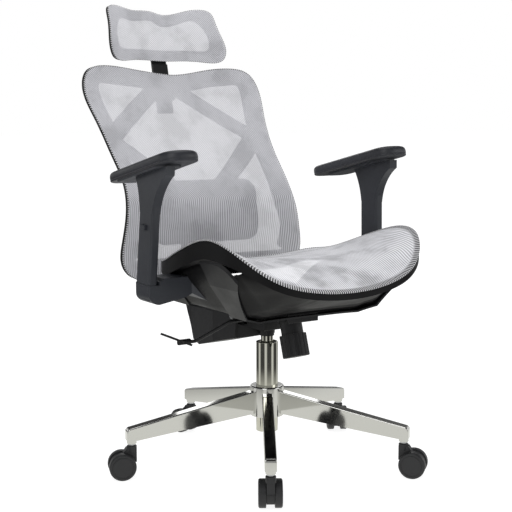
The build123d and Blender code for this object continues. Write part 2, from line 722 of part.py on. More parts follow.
# Underside of the shell, from the middle outwards: flat floor, then a wall that rises to the rim.
PAN_PROFILE = ((0, 366), (130, 366), (172, 378), (222, 450), (262, 530))
PAN_FRONT = -160.0
PAN_WINDOW = (-120.0, 54.0)     # Y range of the open side windows
PAN_WINDOW_X = 142.0
cutout_half = MECH_HALF_WIDTH + CARRIER_SHEET + 4
bolt_places = [(side * x, y) for side in (-1, 1) for x in (72, 102) for y in (-78, 24)]

with BuildPart() as above_rim:
    for station in SEAT_STATIONS:
        middle_depth = RIM_DEPTH_REAR if station[0] > 60 else RIM_DEPTH_FRONT
        add(seat_face(station, -90, middle_depth, rim_depth_at(station[0])))
    loft()

with BuildPart() as seat_shell:
    with BuildSketch(Plane.XZ.offset(-140)):
        with BuildLine():
            mirrored = [(-x, z) for x, z in reversed(PAN_PROFILE)]
            Polyline(*mirrored, *PAN_PROFILE[1:])
            offset(amount=PAN_WALL, side=Side.LEFT)
        make_face()
    extrude(amount=480)
    with BuildSketch(Plane.XY.offset(300)):
        add(outline_face(SEAT_OUTLINE, 9))
    extrude(amount=400, mode=Mode.INTERSECT)
    # the front edge of the shell curves back between the two front corners
    with BuildSketch(Plane.XY.offset(300)):
        with BuildLine():
            front_edge = Spline((-250, -290), (-150, PAN_FRONT - 14), (0, PAN_FRONT), (150, PAN_FRONT - 14),
                                (250, -290))
            Polyline(front_edge @ 1, (250, -400), (-250, -400), front_edge @ 0)
        make_face()
    extrude(amount=400, mode=Mode.SUBTRACT)
    # open side windows, where the arm brackets come through
    window_y = (PAN_WINDOW[0] + PAN_WINDOW[1]) / 2
    with BuildSketch(Plane.XY.offset(300)):
        for side in (-1, 1):
            with Locations((side * (PAN_WINDOW_X + 100), window_y)):
                RectangleRounded(200, PAN_WINDOW[1] - PAN_WINDOW[0], 18)
    extrude(amount=400, mode=Mode.SUBTRACT)
    # room for the mechanism
    with BuildSketch(Plane.XY.offset(300)):
        with Locations((0, (MECH_FRONT - 6 + 300) / 2)):
            Rectangle(2 * cutout_half, 300 - MECH_FRONT + 6)
    extrude(amount=100, mode=Mode.SUBTRACT)
    with BuildSketch(Plane.XY.offset(PAN_FLOOR - 1)):
        with Locations(*bolt_places):
            Circle(SEAT_BOLT_RADIUS + HOLE_GAP)
    extrude(amount=PAN_WALL + 2, mode=Mode.SUBTRACT)
    # the walls stop at the underside of the rim
    add(above_rim.part, mode=Mode.SUBTRACT)
save(seat_shell, "seat_shell")

carrier_floor = PAN_FLOOR + PAN_WALL
carrier_top = MECH_TOP + 4
web_inner = MECH_HALF_WIDTH + BODY_GAP
web_outer = web_inner + CARRIER_SHEET
CARRIER_FRONT = -140.0
CARRIER_REAR = 96.0

with BuildPart() as seat_carrier:
    with BuildSketch(Plane.XZ.offset(-CARRIER_REAR)):
        with Locations((0, carrier_top + CARRIER_SHEET / 2)):
            Rectangle(2 * web_outer, CARRIER_SHEET)
        for side in (-1, 1):
            with Locations((side * (web_inner + CARRIER_SHEET / 2), (carrier_floor + carrier_top) / 2)):
                Rectangle(CARRIER_SHEET, carrier_top - carrier_floor)
            with Locations((side * (web_inner + CARRIER_HALF_WIDTH) / 2, carrier_floor + CARRIER_SHEET / 2)):
                Rectangle(CARRIER_HALF_WIDTH - web_inner, CARRIER_SHEET)
    extrude(amount=CARRIER_REAR - CARRIER_FRONT)
    # pivot ears
    for side in (-1, 1):
        start = web_inner if side > 0 else -web_outer
        with BuildSketch(SIDE.offset(start)):
            with Locations(SEAT_PIVOT):
                Circle(SEAT_PIN_RADIUS + 8)
            with Locations((seat_y, (seat_z + carrier_top) / 2)):
                Rectangle(2 * SEAT_PIN_RADIUS + 16, carrier_top - seat_z)
        extrude(amount=CARRIER_SHEET)
    with BuildSketch(SIDE):
        with Locations(SEAT_PIVOT):
            Circle(SEAT_PIN_RADIUS + RUN_GAP)
    extrude(amount=seat_pin_half + BODY_GAP, both=True, mode=Mode.SUBTRACT)
    with BuildSketch(Plane.XY.offset(carrier_floor - 1)):
        with Locations(*bolt_places):
            Circle(SEAT_BOLT_RADIUS + HOLE_GAP)
    extrude(amount=CARRIER_SHEET + 2, mode=Mode.SUBTRACT)
save(seat_carrier, "seat_carrier")

# ================================================================ arm brackets and posts
arm_lean_in = radians(ARM_LEAN_IN)
arm_plane = Plane(
    origin=(ARM_X, ARM_Y, ARM_FOOT),
    x_dir=(cos(arm_lean_in), 0, sin(arm_lean_in)),
    z_dir=(-sin(arm_lean_in), -sin(radians(ARM_LEAN_FRONT)), cos(arm_lean_in)),
)
sleeve_x = POST_THICKNESS + 2 * (BODY_GAP + SLEEVE_WALL)
sleeve_y = POST_DEPTH + 2 * (BODY_GAP + SLEEVE_WALL)
POST_SEAT = 34.0        # depth of the post inside its bracket
bracket_floor = carrier_floor + CARRIER_SHEET
BRACKET_TOP = 457.0     # clear of the underside of the seat rim
BRACKET_DROP = 43.0     # foot of the sleeve down to the elbow's lowest line
ELBOW_RADIUS = 26.0
BRACKET_CORNER = 5.0
elbow_out = ARM_X + sleeve_x / 2 + 1
elbow_low = ARM_FOOT - BRACKET_DROP


def both_sides(piece, name):
    """Save the piece for the sitter's left and its mirror image for the right."""
    save(piece, f"{name}_left")
    with BuildPart() as twin:
        add(mirror(piece.part, about=Plane.YZ, mode=Mode.PRIVATE))
    save(twin, f"{name}_right")


with BuildPart() as arm_bracket:
    with BuildSketch(Plane.XZ.offset(-60)):
        with BuildLine():
            Line((elbow_out, ARM_FOOT + 6), (elbow_out, elbow_low + ELBOW_RADIUS))
            RadiusArc((elbow_out, elbow_low + ELBOW_RADIUS), (elbow_out - ELBOW_RADIUS, elbow_low), ELBOW_RADIUS)
            Polyline(
                (elbow_out - ELBOW_RADIUS, elbow_low),
                (232, elbow_low + 10),
                (213, elbow_low + 18),
                (156, 387),
                (120, bracket_floor),
                (56, bracket_floor),
                (56, bracket_floor + 14),
                (78, bracket_floor + 16),
                (113, 404),
                (150, 428),
                (184, 452),
                (217, BRACKET_TOP),
                (elbow_out - sleeve_x - 16, BRACKET_TOP),
                (elbow_out - sleeve_x - 12, ARM_FOOT + 6),
                (elbow_out, ARM_FOOT + 6),
            )
        make_face()
    extrude(amount=200)
    # plan outline: narrow at the post, sweeping forward under the seat
    with BuildSketch(Plane.XY.offset(300)) as bracket_plan:
        with BuildLine():
            half_depth = sleeve_y / 2 + 1
            Polyline((214, ARM_Y + half_depth), (elbow_out, ARM_Y + half_depth),
                     (elbow_out, ARM_Y - half_depth), (214, ARM_Y - half_depth - 2))
            ThreePointArc((214, ARM_Y - half_depth - 2), (148, -72), (56, -108))
            Polyline((56, -108), (56, 42), (130, 44), (214, ARM_Y + half_depth))
        make_face()
        fillet(bracket_plan.vertices().group_by(Axis.X)[-1], BRACKET_CORNER)
    extrude(amount=300, mode=Mode.INTERSECT)
    with BuildSketch(arm_plane.offset(-BODY_GAP)):
        Rectangle(sleeve_x + 8, sleeve_y + 8)
    extrude(amount=60, mode=Mode.SUBTRACT)
    with BuildSketch(arm_plane.offset(-POST_SEAT)):
        Rectangle(POST_THICKNESS, POST_DEPTH)
    extrude(amount=POST_SEAT + 1, mode=Mode.SUBTRACT)
    with BuildSketch(Plane.XY.offset(bracket_floor - 1)):
        with Locations(*bolt_places):
            Circle(SEAT_BOLT_RADIUS + HOLE_GAP)
    extrude(amount=60, mode=Mode.SUBTRACT)
    # counterbores from above for the nuts
    with BuildSketch(Plane.XY.offset(bracket_floor + 10)):
        with Locations(*bolt_places):
            Circle(2 * SEAT_BOLT_RADIUS + 1)
    extrude(amount=60, mode=Mode.SUBTRACT)
both_sides(arm_bracket, "arm_bracket")

with BuildPart() as seat_bolts:
    with BuildSketch(Plane.XY.offset(PAN_FLOOR - 3)):
        with Locations(*bolt_places):
            RegularPolygon(2 * SEAT_BOLT_RADIUS, 6)
    extrude(amount=3)
    with BuildSketch(Plane.XY.offset(PAN_FLOOR - 1)):
        with Locations(*bolt_places):
            Circle(SEAT_BOLT_RADIUS)
    extrude(amount=bracket_floor + 10 - PAN_FLOOR + 5)
    with BuildSketch(Plane.XY.offset(bracket_floor + 10)):
        with Locations(*bolt_places):
            RegularPolygon(2 * SEAT_BOLT_RADIUS, 6)
    extrude(amount=4)
save(seat_bolts, "seat_bolts")

GROOVE_DEPTH = 4.5
groove_width = BUTTON_SIZE[0] + 4
sleeve_roof = SLEEVE_LENGTH - 18
post_length = POST_SEAT + sleeve_roof - 6

with BuildPart() as arm_post:
    with BuildSketch(arm_plane.offset(-POST_SEAT)):
        Rectangle(POST_THICKNESS, POST_DEPTH)
    extrude(amount=post_length)
    # toothed groove for the latch of the height button
    with BuildSketch(arm_plane.offset(20)):
        with Locations((POST_THICKNESS / 2, 0)):
            Rectangle(2 * GROOVE_DEPTH, groove_width)
    extrude(amount=post_length, mode=Mode.SUBTRACT)
both_sides(arm_post, "arm_post")

# ================================================================ armrests
pad_tilt = radians(PAD_TILT)
pad_plane = Plane(origin=PAD_CENTRE, x_dir=(1, 0, 0), z_dir=(0, sin(pad_tilt), cos(pad_tilt)))
PLATE_THICKNESS = 5.0
pad_floor = -PAD_THICKNESS / 2
tee_plane = Plane(origin=arm_plane.origin, x_dir=arm_plane.y_dir, z_dir=arm_plane.x_dir)

with BuildPart() as arm_sleeve:
    with BuildSketch(arm_plane):
        RectangleRounded(sleeve_x, sleeve_y, 6)
    extrude(amount=SLEEVE_LENGTH + 40)
    # the head widens into a tee along the pad
    with BuildSketch(tee_plane):
        with BuildLine():
            Line((-sleeve_y / 2 + 3, 150), (sleeve_y / 2 - 3, 150))
            ThreePointArc((sleeve_y / 2 - 3, 150), (sleeve_y / 2 + 9, 196), (sleeve_y / 2 + 34, 236))
            Line((sleeve_y / 2 + 34, 236), (sleeve_y / 2 + 34, 290))
            Line((sleeve_y / 2 + 34, 290), (-sleeve_y / 2 - 50, 290))
            Line((-sleeve_y / 2 - 50, 290), (-sleeve_y / 2 - 50, 236))
            ThreePointArc((-sleeve_y / 2 - 50, 236), (-sleeve_y / 2 - 12, 196), (-sleeve_y / 2 + 3, 150))
        make_face()
    extrude(amount=sleeve_x / 2, both=True)
    split(bisect_by=pad_plane.offset(pad_floor - PLATE_THICKNESS), keep=Keep.BOTTOM)
    with BuildSketch(arm_plane):
        Rectangle(POST_THICKNESS + 2 * BODY_GAP, POST_DEPTH + 2 * BODY_GAP)
    extrude(amount=sleeve_roof, mode=Mode.SUBTRACT)
    with BuildSketch(pad_plane.offset(pad_floor - PLATE_THICKNESS)):
        with Locations((8, 4)):
            RectangleRounded(64, 210, 24)
    extrude(amount=PLATE_THICKNESS)
    # pocket of the height button
    with BuildSketch(tee_plane):
        with Locations((0, BUTTON_HEIGHT)):
            Rectangle(BUTTON_SIZE[0] + 2 * BODY_GAP, BUTTON_SIZE[1] + 2 * BODY_GAP)
    extrude(amount=sleeve_x, mode=Mode.SUBTRACT)
both_sides(arm_sleeve, "arm_sleeve")

with BuildPart() as height_button:
    with BuildSketch(tee_plane.offset(sleeve_x / 2 - SLEEVE_WALL + 0.5)):
        with Locations((0, BUTTON_HEIGHT)):
            Rectangle(*BUTTON_SIZE)
    extrude(amount=SLEEVE_WALL - 0.5 + BUTTON_PROUD)
    fillet(height_button.faces().sort_by(Axis.X)[-1].edges(), 2)
both_sides(height_button, "height_button")

with BuildPart() as arm_pad:
    with BuildSketch(pad_plane.offset(pad_floor)):
        RectangleRounded(PAD_WIDTH, PAD_LENGTH, PAD_WIDTH / 2 - 8)
    extrude(amount=PAD_THICKNESS)
    pad_faces = arm_pad.faces().sort_by(lambda f: f.normal_at().Z)
    fillet(pad_faces[-1].edges(), 9)
    fillet(arm_pad.faces().sort_by(lambda f: f.normal_at().Z)[0].edges(), 4)
both_sides(arm_pad, "arm_pad")

# ================================================================ back
# Middle line of the back mesh seen from the side: Y, Z.
BACK_PROFILE = ((252, 398), (261, 460), (256, 520), (255, 570), (281, 638), (333, 700), (395, 780),
                (447, 862), (466, 935))
# Middle line of the front of the brace, behind the frame.
BRACE_PROFILE = ((298, 430), (297, 500), (298, 550), (306, 620), (323, 660), (367, 720), (413, 780),
                 (464.5, 862), (482, 920))
# Half of the outline of the back from the front: X, Z, from the top to the bottom.
BACK_OUTLINE = [(0, 902), (110, 915), (180, 921), (231, 908), (250, 868), (240, 790), (229, 705),
                (227, 640), (235, 575), (247, 505), (248, 455), (226, 424), (150, 414), (0, 411)]
BACK_SWEEP = 22.0       # degrees either side of the middle


def turned_band(profile, near, far, axis_y, half_angle):
    """Shell between two distances behind a side profile, turned about an upright axis."""
    slant = radians(half_angle)
    start = Plane(origin=(0, axis_y, 0), x_dir=(-sin(slant), cos(slant), 0), z_dir=(cos(slant), sin(slant), 0))
    with BuildPart() as band:
        with BuildSketch(start):
            with BuildLine():
                front = Spline(*[(y - axis_y + near, z) for y, z in profile])
                rear = Spline(*[(y - axis_y + far, z) for y, z in profile])
                Line(front @ 0, rear @ 0)
                Line(front @ 1, rear @ 1)
            make_face()
        revolve(axis=Axis((0, axis_y, 0), (0, 0, -1)), revolution_arc=2 * half_angle)
    return band.part


with BuildPart() as back_mesh:
    add(turned_band(BACK_PROFILE, 0, SHEET, BACK_AXIS_Y, BACK_SWEEP))
    with BuildSketch(Plane.XZ):
        add(outline_face(BACK_OUTLINE, 0))
    extrude(amount=700, both=True, mode=Mode.INTERSECT)
save(back_mesh, "back_mesh")

ring_near = SHEET + SHEET_GAP
ring_far = ring_near + BACK_RING

with BuildPart() as back_frame:
    add(turned_band(BACK_PROFILE, ring_near, ring_far, BACK_AXIS_Y, BACK_SWEEP))
    with BuildSketch(Plane.XZ):
        add(outline_face(BACK_OUTLINE, EDGE_INSET))
    extrude(amount=700, both=True, mode=Mode.INTERSECT)
    with BuildSketch(Plane.XZ):
        add(outline_face(BACK_OUTLINE, BACK_BAND))
    extrude(amount=700, both=True, mode=Mode.SUBTRACT)
save(back_frame, "back_frame")


def strip(start, end, width):
    """Rounded strip between two points of the open sketch."""
    run, rise = end[0] - start[0], end[1] - start[1]
    with Locations(((start[0] + end[0]) / 2, (start[1] + end[1]) / 2)):
        SlotCenterToCenter(sqrt(run ** 2 + rise ** 2), width, rotation=degrees(atan2(rise, run)))


BRACE_TOP = (26.0, 868.0)
BRACE_WAIST = (204.0, 742.0)
BRACE_FOOT = (40.0, 600.0)
BRACE_WIDTH = 36.0
BRACE_PLATE = (96.0, 130.0)
brace_plate_z = 560.0
back_bolt_places = [(x, z) for x in (-20, 20) for z in (530, 585)]
BACK_BOLT_RADIUS = 4.0

with BuildPart() as back_brace:
    add(turned_band(BRACE_PROFILE, 0, BRACE_THICKNESS, BACK_AXIS_Y, BACK_SWEEP))
    with BuildSketch(Plane.XZ):
        for side in (-1, 1):
            top, waist, foot = [(side * x, z) for x, z in (BRACE_TOP, BRACE_WAIST, BRACE_FOOT)]
            strip(top, waist, BRACE_WIDTH)
            strip(waist, foot, BRACE_WIDTH)
        strip((-BRACE_TOP[0], BRACE_TOP[1]), BRACE_TOP, BRACE_WIDTH)
        with Locations((0, brace_plate_z)):
            RectangleRounded(*BRACE_PLATE, 20)
    extrude(amount=700, both=True, mode=Mode.INTERSECT)
    with BuildSketch(Plane.XZ):
        with Locations(*back_bolt_places):
            Circle(BACK_BOLT_RADIUS + HOLE_GAP)
    extrude(amount=700, both=True, mode=Mode.SUBTRACT)
save(back_brace, "back_brace")

# J-shaped arm from the back pivot, round under the back and up to the brace
support_face_y = 298 + BRACE_THICKNESS + 1
SUPPORT_DEPTH = 24.0
SUPPORT_TOP = 606.0

with BuildPart() as back_support:
    with BuildSketch(SIDE):
        with BuildLine():
            Polyline(
                (back_y - 16, back_z - 6),
                (back_y - 12, 292),
                (238, 243),
                (276, 250),
                (300, 300),
            )
            Spline((300, 300), (325, 360), (support_face_y + SUPPORT_DEPTH, 470),
                   (support_face_y + SUPPORT_DEPTH - 4, SUPPORT_TOP))
            Polyline(
                (support_face_y + SUPPORT_DEPTH - 4, SUPPORT_TOP),
                (support_face_y - 4, SUPPORT_TOP),
                (support_face_y - 4, 470),
            )
            Spline((support_face_y - 4, 470), (290, 408), (226, 366), (150, 358))
            Line((150, 358), (back_y, back_z + 16))
            ThreePointArc((back_y, back_z + 16), (back_y - 13, back_z + 9), (back_y - 16, back_z - 6))
        make_face()
    extrude(amount=SUPPORT_HALF_WIDTH, both=True)
    # plan outline: wide at the pivot, narrow behind the back
    with BuildSketch(Plane.XY.offset(200)):
        with BuildLine():
            Polyline(
                (SUPPORT_HALF_WIDTH, 0),
                (SUPPORT_HALF_WIDTH, 150),
                (SUPPORT_REAR_HALF_WIDTH, 290),
                (SUPPORT_REAR_HALF_WIDTH, 400),
                (-SUPPORT_REAR_HALF_WIDTH, 400),
                (-SUPPORT_REAR_HALF_WIDTH, 290),
                (-SUPPORT_HALF_WIDTH, 150),
                (-SUPPORT_HALF_WIDTH, 0),
                close=True,
            )
        make_face()
    extrude(amount=500, mode=Mode.INTERSECT)
    # fork slot round the mechanism
    with BuildSketch(Plane.XY.offset(200)):
        with Locations((0, (MECH_REAR + 16) / 2)):
            Rectangle(2 * cheek_inner, MECH_REAR + 16)
    extrude(amount=500, mode=Mode.SUBTRACT)
    with BuildSketch(SIDE):
        with Locations(BACK_PIVOT):
            Circle(BACK_PIN_RADIUS + RUN_GAP)
    extrude(amount=SUPPORT_HALF_WIDTH + 5, both=True, mode=Mode.SUBTRACT)
    add(back_brace.part, mode=Mode.SUBTRACT)
    with BuildSketch(Plane.XZ):
        with Locations(*back_bolt_places):
            Circle(BACK_BOLT_RADIUS + HOLE_GAP)
    extrude(amount=700, both=True, mode=Mode.SUBTRACT)
save(back_support, "back_support")

with BuildPart() as back_bolts:
    with BuildSketch(Plane.XZ.offset(-support_face_y + BRACE_THICKNESS + 1)):
        with Locations(*back_bolt_places):
            Circle(2 * BACK_BOLT_RADIUS - 1)
    extrude(amount=4.5)
    with BuildSketch(Plane.XZ.offset(-support_face_y + BRACE_THICKNESS + 4)):
        with Locations(*back_bolt_places):
            Circle(BACK_BOLT_RADIUS)
    extrude(amount=-(BRACE_THICKNESS + SUPPORT_DEPTH + 8))
    with BuildSketch(Plane.XZ.offset(-support_face_y - SUPPORT_DEPTH - 2)):
        with Locations(*back_bolt_places):
            RegularPolygon(2 * BACK_BOLT_RADIUS - 1, 6)
    extrude(amount=-5)
    add(back_brace.part, mode=Mode.SUBTRACT)
    add(back_support.part, mode=Mode.SUBTRACT)
save(back_bolts, "back_bolts")

# ================================================================ lumbar panel
LUMBAR_LOW = (273.0, 488.0)     # Y, Z of the foot of the panel in the middle
LUMBAR_HIGH = (294.0, 642.0)
LUMBAR_CORNER = 36.0
LUMBAR_PROFILE = (LUMBAR_LOW, LUMBAR_HIGH)
lumbar_height = LUMBAR_HIGH[1] - LUMBAR_LOW[1]
lumbar_middle = (LUMBAR_HIGH[1] + LUMBAR_LOW[1]) / 2
rib_count = int(2 * (LUMBAR_HALF_WIDTH - 12) / LUMBAR_PITCH)


def lumbar_band(near, far):
    """Shell of the lumbar panel between two distances behind its middle line."""
    slant = radians(BACK_SWEEP)
    low, high = LUMBAR_PROFILE
    start = Plane(origin=(0, BACK_AXIS_Y, 0), x_dir=(-sin(slant), cos(slant), 0),
                  z_dir=(cos(slant), sin(slant), 0))
    with BuildPart() as band:
        with BuildSketch(start):
            with BuildLine():
                Polyline(
                    (low[0] - BACK_AXIS_Y + near, low[1]),
                    (high[0] - BACK_AXIS_Y + near, high[1]),
                    (high[0] - BACK_AXIS_Y + far, high[1]),
                    (low[0] - BACK_AXIS_Y + far, low[1]),
                    close=True,
                )
            make_face()
        revolve(axis=Axis((0, BACK_AXIS_Y, 0), (0, 0, -1)), revolution_arc=2 * BACK_SWEEP)
    return band.part


with BuildPart() as lumbar_ribs:
    add(lumbar_band(-LUMBAR_RIB, 0.5))
    with BuildSketch(Plane.XZ):
        with Locations((0, lumbar_middle)):
            with GridLocations(LUMBAR_PITCH, 0, rib_count, 1):
                SlotOverall(lumbar_height - 16, LUMBAR_PITCH * 0.45, rotation=90)
    extrude(amount=700, both=True, mode=Mode.INTERSECT)

with BuildPart() as lumbar_panel:
    add(lumbar_band(0, LUMBAR_SHEET))
    with BuildSketch(Plane.XZ):
        with Locations((0, lumbar_middle)):
            RectangleRounded(2 * LUMBAR_HALF_WIDTH, lumbar_height - 2, LUMBAR_CORNER)
    extrude(amount=700, both=True, mode=Mode.INTERSECT)
    add(lumbar_ribs.part)
save(lumbar_panel, "lumbar_panel")

# ================================================================ headrest
head_y, head_z = HEAD_PIVOT
stem_tilt = radians(STEM_LEAN)
stem_plane = Plane(origin=(0, head_y, head_z), x_dir=(1, 0, 0), z_dir=(0, sin(stem_tilt), cos(stem_tilt)))
STEM_LENGTH = 158.0
STEM_NECK = 30.0        # thinner stretch below the pivot
SOCKET_WALL = 4.0
SOCKET_SPAN = (-126.0, -78.0)   # along the stem, below the pivot

with BuildPart() as headrest_socket:
    with BuildSketch(stem_plane.offset(SOCKET_SPAN[0])):
        with Locations((0, -3)):
            Rectangle(STEM_WIDTH + 2 * SOCKET_WALL, STEM_THICKNESS + 2 * SOCKET_WALL + 6)
    extrude(amount=SOCKET_SPAN[1] - SOCKET_SPAN[0])
    along_stem = Axis((0, 0, 0), (0, sin(stem_tilt), cos(stem_tilt)))
    fillet(headrest_socket.edges().filter_by(along_stem).group_by(Axis.Y)[-1], 3)
    with BuildSketch(stem_plane.offset(SOCKET_SPAN[0])):
        Rectangle(STEM_WIDTH + 2 * BODY_GAP, STEM_THICKNESS + 2 * BODY_GAP)
    extrude(amount=SOCKET_SPAN[1] - SOCKET_SPAN[0], mode=Mode.SUBTRACT)
    add(back_brace.part, mode=Mode.SUBTRACT)
save(headrest_socket, "headrest_socket")

with BuildPart() as headrest_stem:
    with BuildSketch(stem_plane.offset(-STEM_LENGTH)):
        Rectangle(STEM_WIDTH, STEM_THICKNESS)
    extrude(amount=STEM_LENGTH - STEM_NECK)
    with BuildSketch(stem_plane.offset(-STEM_NECK)):
        with Locations((0, STEM_THICKNESS / 4)):
            Rectangle(STEM_WIDTH, STEM_THICKNESS / 2)
    extrude(amount=STEM_NECK)
    with BuildSketch(SIDE.offset(-STEM_WIDTH / 2)):
        with Locations(HEAD_PIVOT):
            Circle(HEAD_PIN_RADIUS + 3)
    extrude(amount=STEM_WIDTH)
    with BuildSketch(SIDE):
        with Locations(HEAD_PIVOT):
            Circle(HEAD_PIN_RADIUS + RUN_GAP)
    extrude(amount=STEM_WIDTH, both=True, mode=Mode.SUBTRACT)
save(headrest_stem, "headrest_stem")

HEAD_PROFILE = ((480, 925), (483, 940), (489, 970), (499, 1002), (514, 1040), (536, 1085))
HEAD_OUTLINE = [(0, 1061), (70, 1065), (124, 1074), (146, 1068), (153, 1040), (160, 1000),
                (164, 965), (156, 943), (100, 937), (0, 937)]
HEAD_WINDOW = [(0, 1034), (70, 1038), (112, 1041), (128, 1020), (134, 988), (129, 970), (100, 965), (0, 964)]
HEAD_SWEEP = 36.0

with BuildPart() as headrest_mesh:
    add(turned_band(HEAD_PROFILE, 0, SHEET, HEAD_AXIS_Y, HEAD_SWEEP))
    with BuildSketch(Plane.XZ):
        add(outline_face(HEAD_OUTLINE, 0))
    extrude(amount=700, both=True, mode=Mode.INTERSECT)
save(headrest_mesh, "headrest_mesh")

lug_inner = STEM_WIDTH / 2 + BODY_GAP
LUG_WIDTH = 6.0

with BuildPart() as headrest_frame:
    add(turned_band(HEAD_PROFILE, ring_near, ring_near + HEAD_RING, HEAD_AXIS_Y, HEAD_SWEEP))
    with BuildSketch(Plane.XZ):
        add(outline_face(HEAD_OUTLINE, EDGE_INSET))
    extrude(amount=700, both=True, mode=Mode.INTERSECT)
    with BuildSketch(Plane.XZ):
        add(outline_face(HEAD_WINDOW, 0))
    extrude(amount=700, both=True, mode=Mode.SUBTRACT)
    # lugs round the pivot
    for side in (-1, 1):
        start = lug_inner if side > 0 else -lug_inner - LUG_WIDTH
        with BuildSketch(SIDE.offset(start)):
            with Locations(HEAD_PIVOT):
                Circle(HEAD_PIN_RADIUS + 4)
            with Locations((head_y - 8, head_z - 2)):
                Rectangle(16, 2 * HEAD_PIN_RADIUS + 4)
        extrude(amount=LUG_WIDTH)
    with BuildSketch(SIDE):
        with Locations(HEAD_PIVOT):
            Circle(HEAD_PIN_RADIUS)
    extrude(amount=lug_inner + LUG_WIDTH + 1, both=True, mode=Mode.SUBTRACT)
save(headrest_frame, "headrest_frame")

with BuildPart() as headrest_pin:
    with BuildSketch(SIDE):
        with Locations(HEAD_PIVOT):
            Circle(HEAD_PIN_RADIUS)
    extrude(amount=lug_inner + LUG_WIDTH, both=True)
save(headrest_pin, "headrest_pin")
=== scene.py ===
import json
from math import atan2, cos, pi, radians, sin

import bmesh
import bpy
from mathutils import Matrix, Vector
from mathutils.bvhtree import BVHTree


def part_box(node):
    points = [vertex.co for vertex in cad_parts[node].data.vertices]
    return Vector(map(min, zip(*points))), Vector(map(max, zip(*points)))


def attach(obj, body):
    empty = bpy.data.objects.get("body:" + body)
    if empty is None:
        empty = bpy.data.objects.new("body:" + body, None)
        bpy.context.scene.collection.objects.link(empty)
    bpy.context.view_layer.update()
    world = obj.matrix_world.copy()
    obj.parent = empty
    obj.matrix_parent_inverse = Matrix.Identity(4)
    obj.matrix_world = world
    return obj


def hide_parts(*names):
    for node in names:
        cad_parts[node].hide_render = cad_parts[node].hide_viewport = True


# Mesh task chair. Everything is in metres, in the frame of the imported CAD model:
# +Z up, the sitter faces -Y, the sitter's right is -X.

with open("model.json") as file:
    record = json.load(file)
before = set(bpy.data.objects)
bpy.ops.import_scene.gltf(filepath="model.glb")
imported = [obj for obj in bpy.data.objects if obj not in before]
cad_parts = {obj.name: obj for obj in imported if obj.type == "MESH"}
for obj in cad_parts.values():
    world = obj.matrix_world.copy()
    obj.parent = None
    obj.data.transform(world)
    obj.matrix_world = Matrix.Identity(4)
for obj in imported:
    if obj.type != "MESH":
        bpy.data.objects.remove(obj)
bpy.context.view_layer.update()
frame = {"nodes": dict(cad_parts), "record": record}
nodes = frame["nodes"]
body_of_node = {n: b for b, listed in frame["record"]["behaviour"]["bodies"].items() for n in listed}

# ---------------------------------------------------------------- materials


class Look:
    """A node material under construction, with short calls for the nodes that it uses."""

    def __init__(self, name):
        self.material = bpy.data.materials.new(name)
        self.material.use_nodes = True
        self.tree = self.material.node_tree
        self.shader = self.tree.nodes["Principled BSDF"]

    def node(self, kind, **values):
        made = self.tree.nodes.new("ShaderNode" + kind)
        for key, value in values.items():
            setattr(made, key, value)
        return made

    def link(self, source, target):
        self.tree.links.new(source, target)

    def set(self, **values):
        """Set plain values on the shader's own sockets."""
        for key, value in values.items():
            self.shader.inputs[key.replace("_", " ")].default_value = value

    def maths(self, operation, a, b=0.0):
        made = self.node("Math", operation=operation)
        for index, value in enumerate((a, b)):
            if isinstance(value, (int, float)):
                made.inputs[index].default_value = value
            else:
                self.link(value, made.inputs[index])
        return made.outputs[0]

    def place(self):
        return self.node("TexCoord").outputs["Object"]

    def uv(self, layer):
        made = self.node("UVMap")
        made.uv_map = layer
        split = self.node("SeparateXYZ")
        self.link(made.outputs["UV"], split.inputs[0])
        return made.outputs["UV"], split.outputs[0], split.outputs[1]

    def noise(self, scale, detail=3.0, roughness=0.5, vector=None):
        made = self.node("TexNoise")
        made.inputs["Scale"].default_value = scale
        made.inputs["Detail"].default_value = detail
        made.inputs["Roughness"].default_value = roughness
        self.link(vector or self.place(), made.inputs["Vector"])
        return made.outputs["Fac"]

    def ramp(self, factor, *stops):
        """Colour ramp; each stop is a position with a grey or a colour."""
        made = self.node("ValToRGB")
        made.color_ramp.elements[0].position = stops[0][0]
        made.color_ramp.elements[-1].position = stops[-1][0]
        for position, colour in stops[1:-1]:
            made.color_ramp.elements.new(position)
        for element, (position, colour) in zip(made.color_ramp.elements, stops):
            rgb = (colour,) * 3 if isinstance(colour, (int, float)) else colour
            element.color = (*rgb, 1.0)
        self.link(factor, made.inputs["Fac"])
        return made.outputs["Color"]

    def mix(self, factor, a, b):
        made = self.node("Mix", data_type="RGBA")
        self.link(factor, made.inputs["Factor"])
        for socket, value in ((made.inputs[6], a), (made.inputs[7], b)):
            if isinstance(value, tuple):
                socket.default_value = (*value, 1.0)
            else:
                self.link(value, socket)
        return made.outputs[2]

    def colour(self, socket):
        self.link(socket, self.shader.inputs["Base Color"])

    def bump(self, height, distance, strength=1.0):
        made = self.node("Bump")
        made.inputs["Distance"].default_value = distance
        made.inputs["Strength"].default_value = strength
        self.link(height, made.inputs["Height"])
        self.link(made.outputs["Normal"], self.shader.inputs["Normal"])

    def roughness(self, low, high, scale):
        self.link(self.ramp(self.noise(scale, 4.0), (0.3, low), (0.7, high)), self.shader.inputs["Roughness"])


def moulded_plastic(name, dark, light, rough, grain=2600.0, gloss=0.45):
    """Injection-moulded plastic: fine spark texture, faint cloudiness, slightly worn roughness."""
    look = Look(name)
    look.colour(look.ramp(look.noise(9.0, 4.0), (0.3, dark), (0.7, light)))
    look.roughness(rough - 0.05, rough + 0.07, 14.0)
    look.bump(look.noise(grain, 2.0), 0.00012, 0.35)
    look.set(Specular_IOR_Level=gloss)
    return look.material


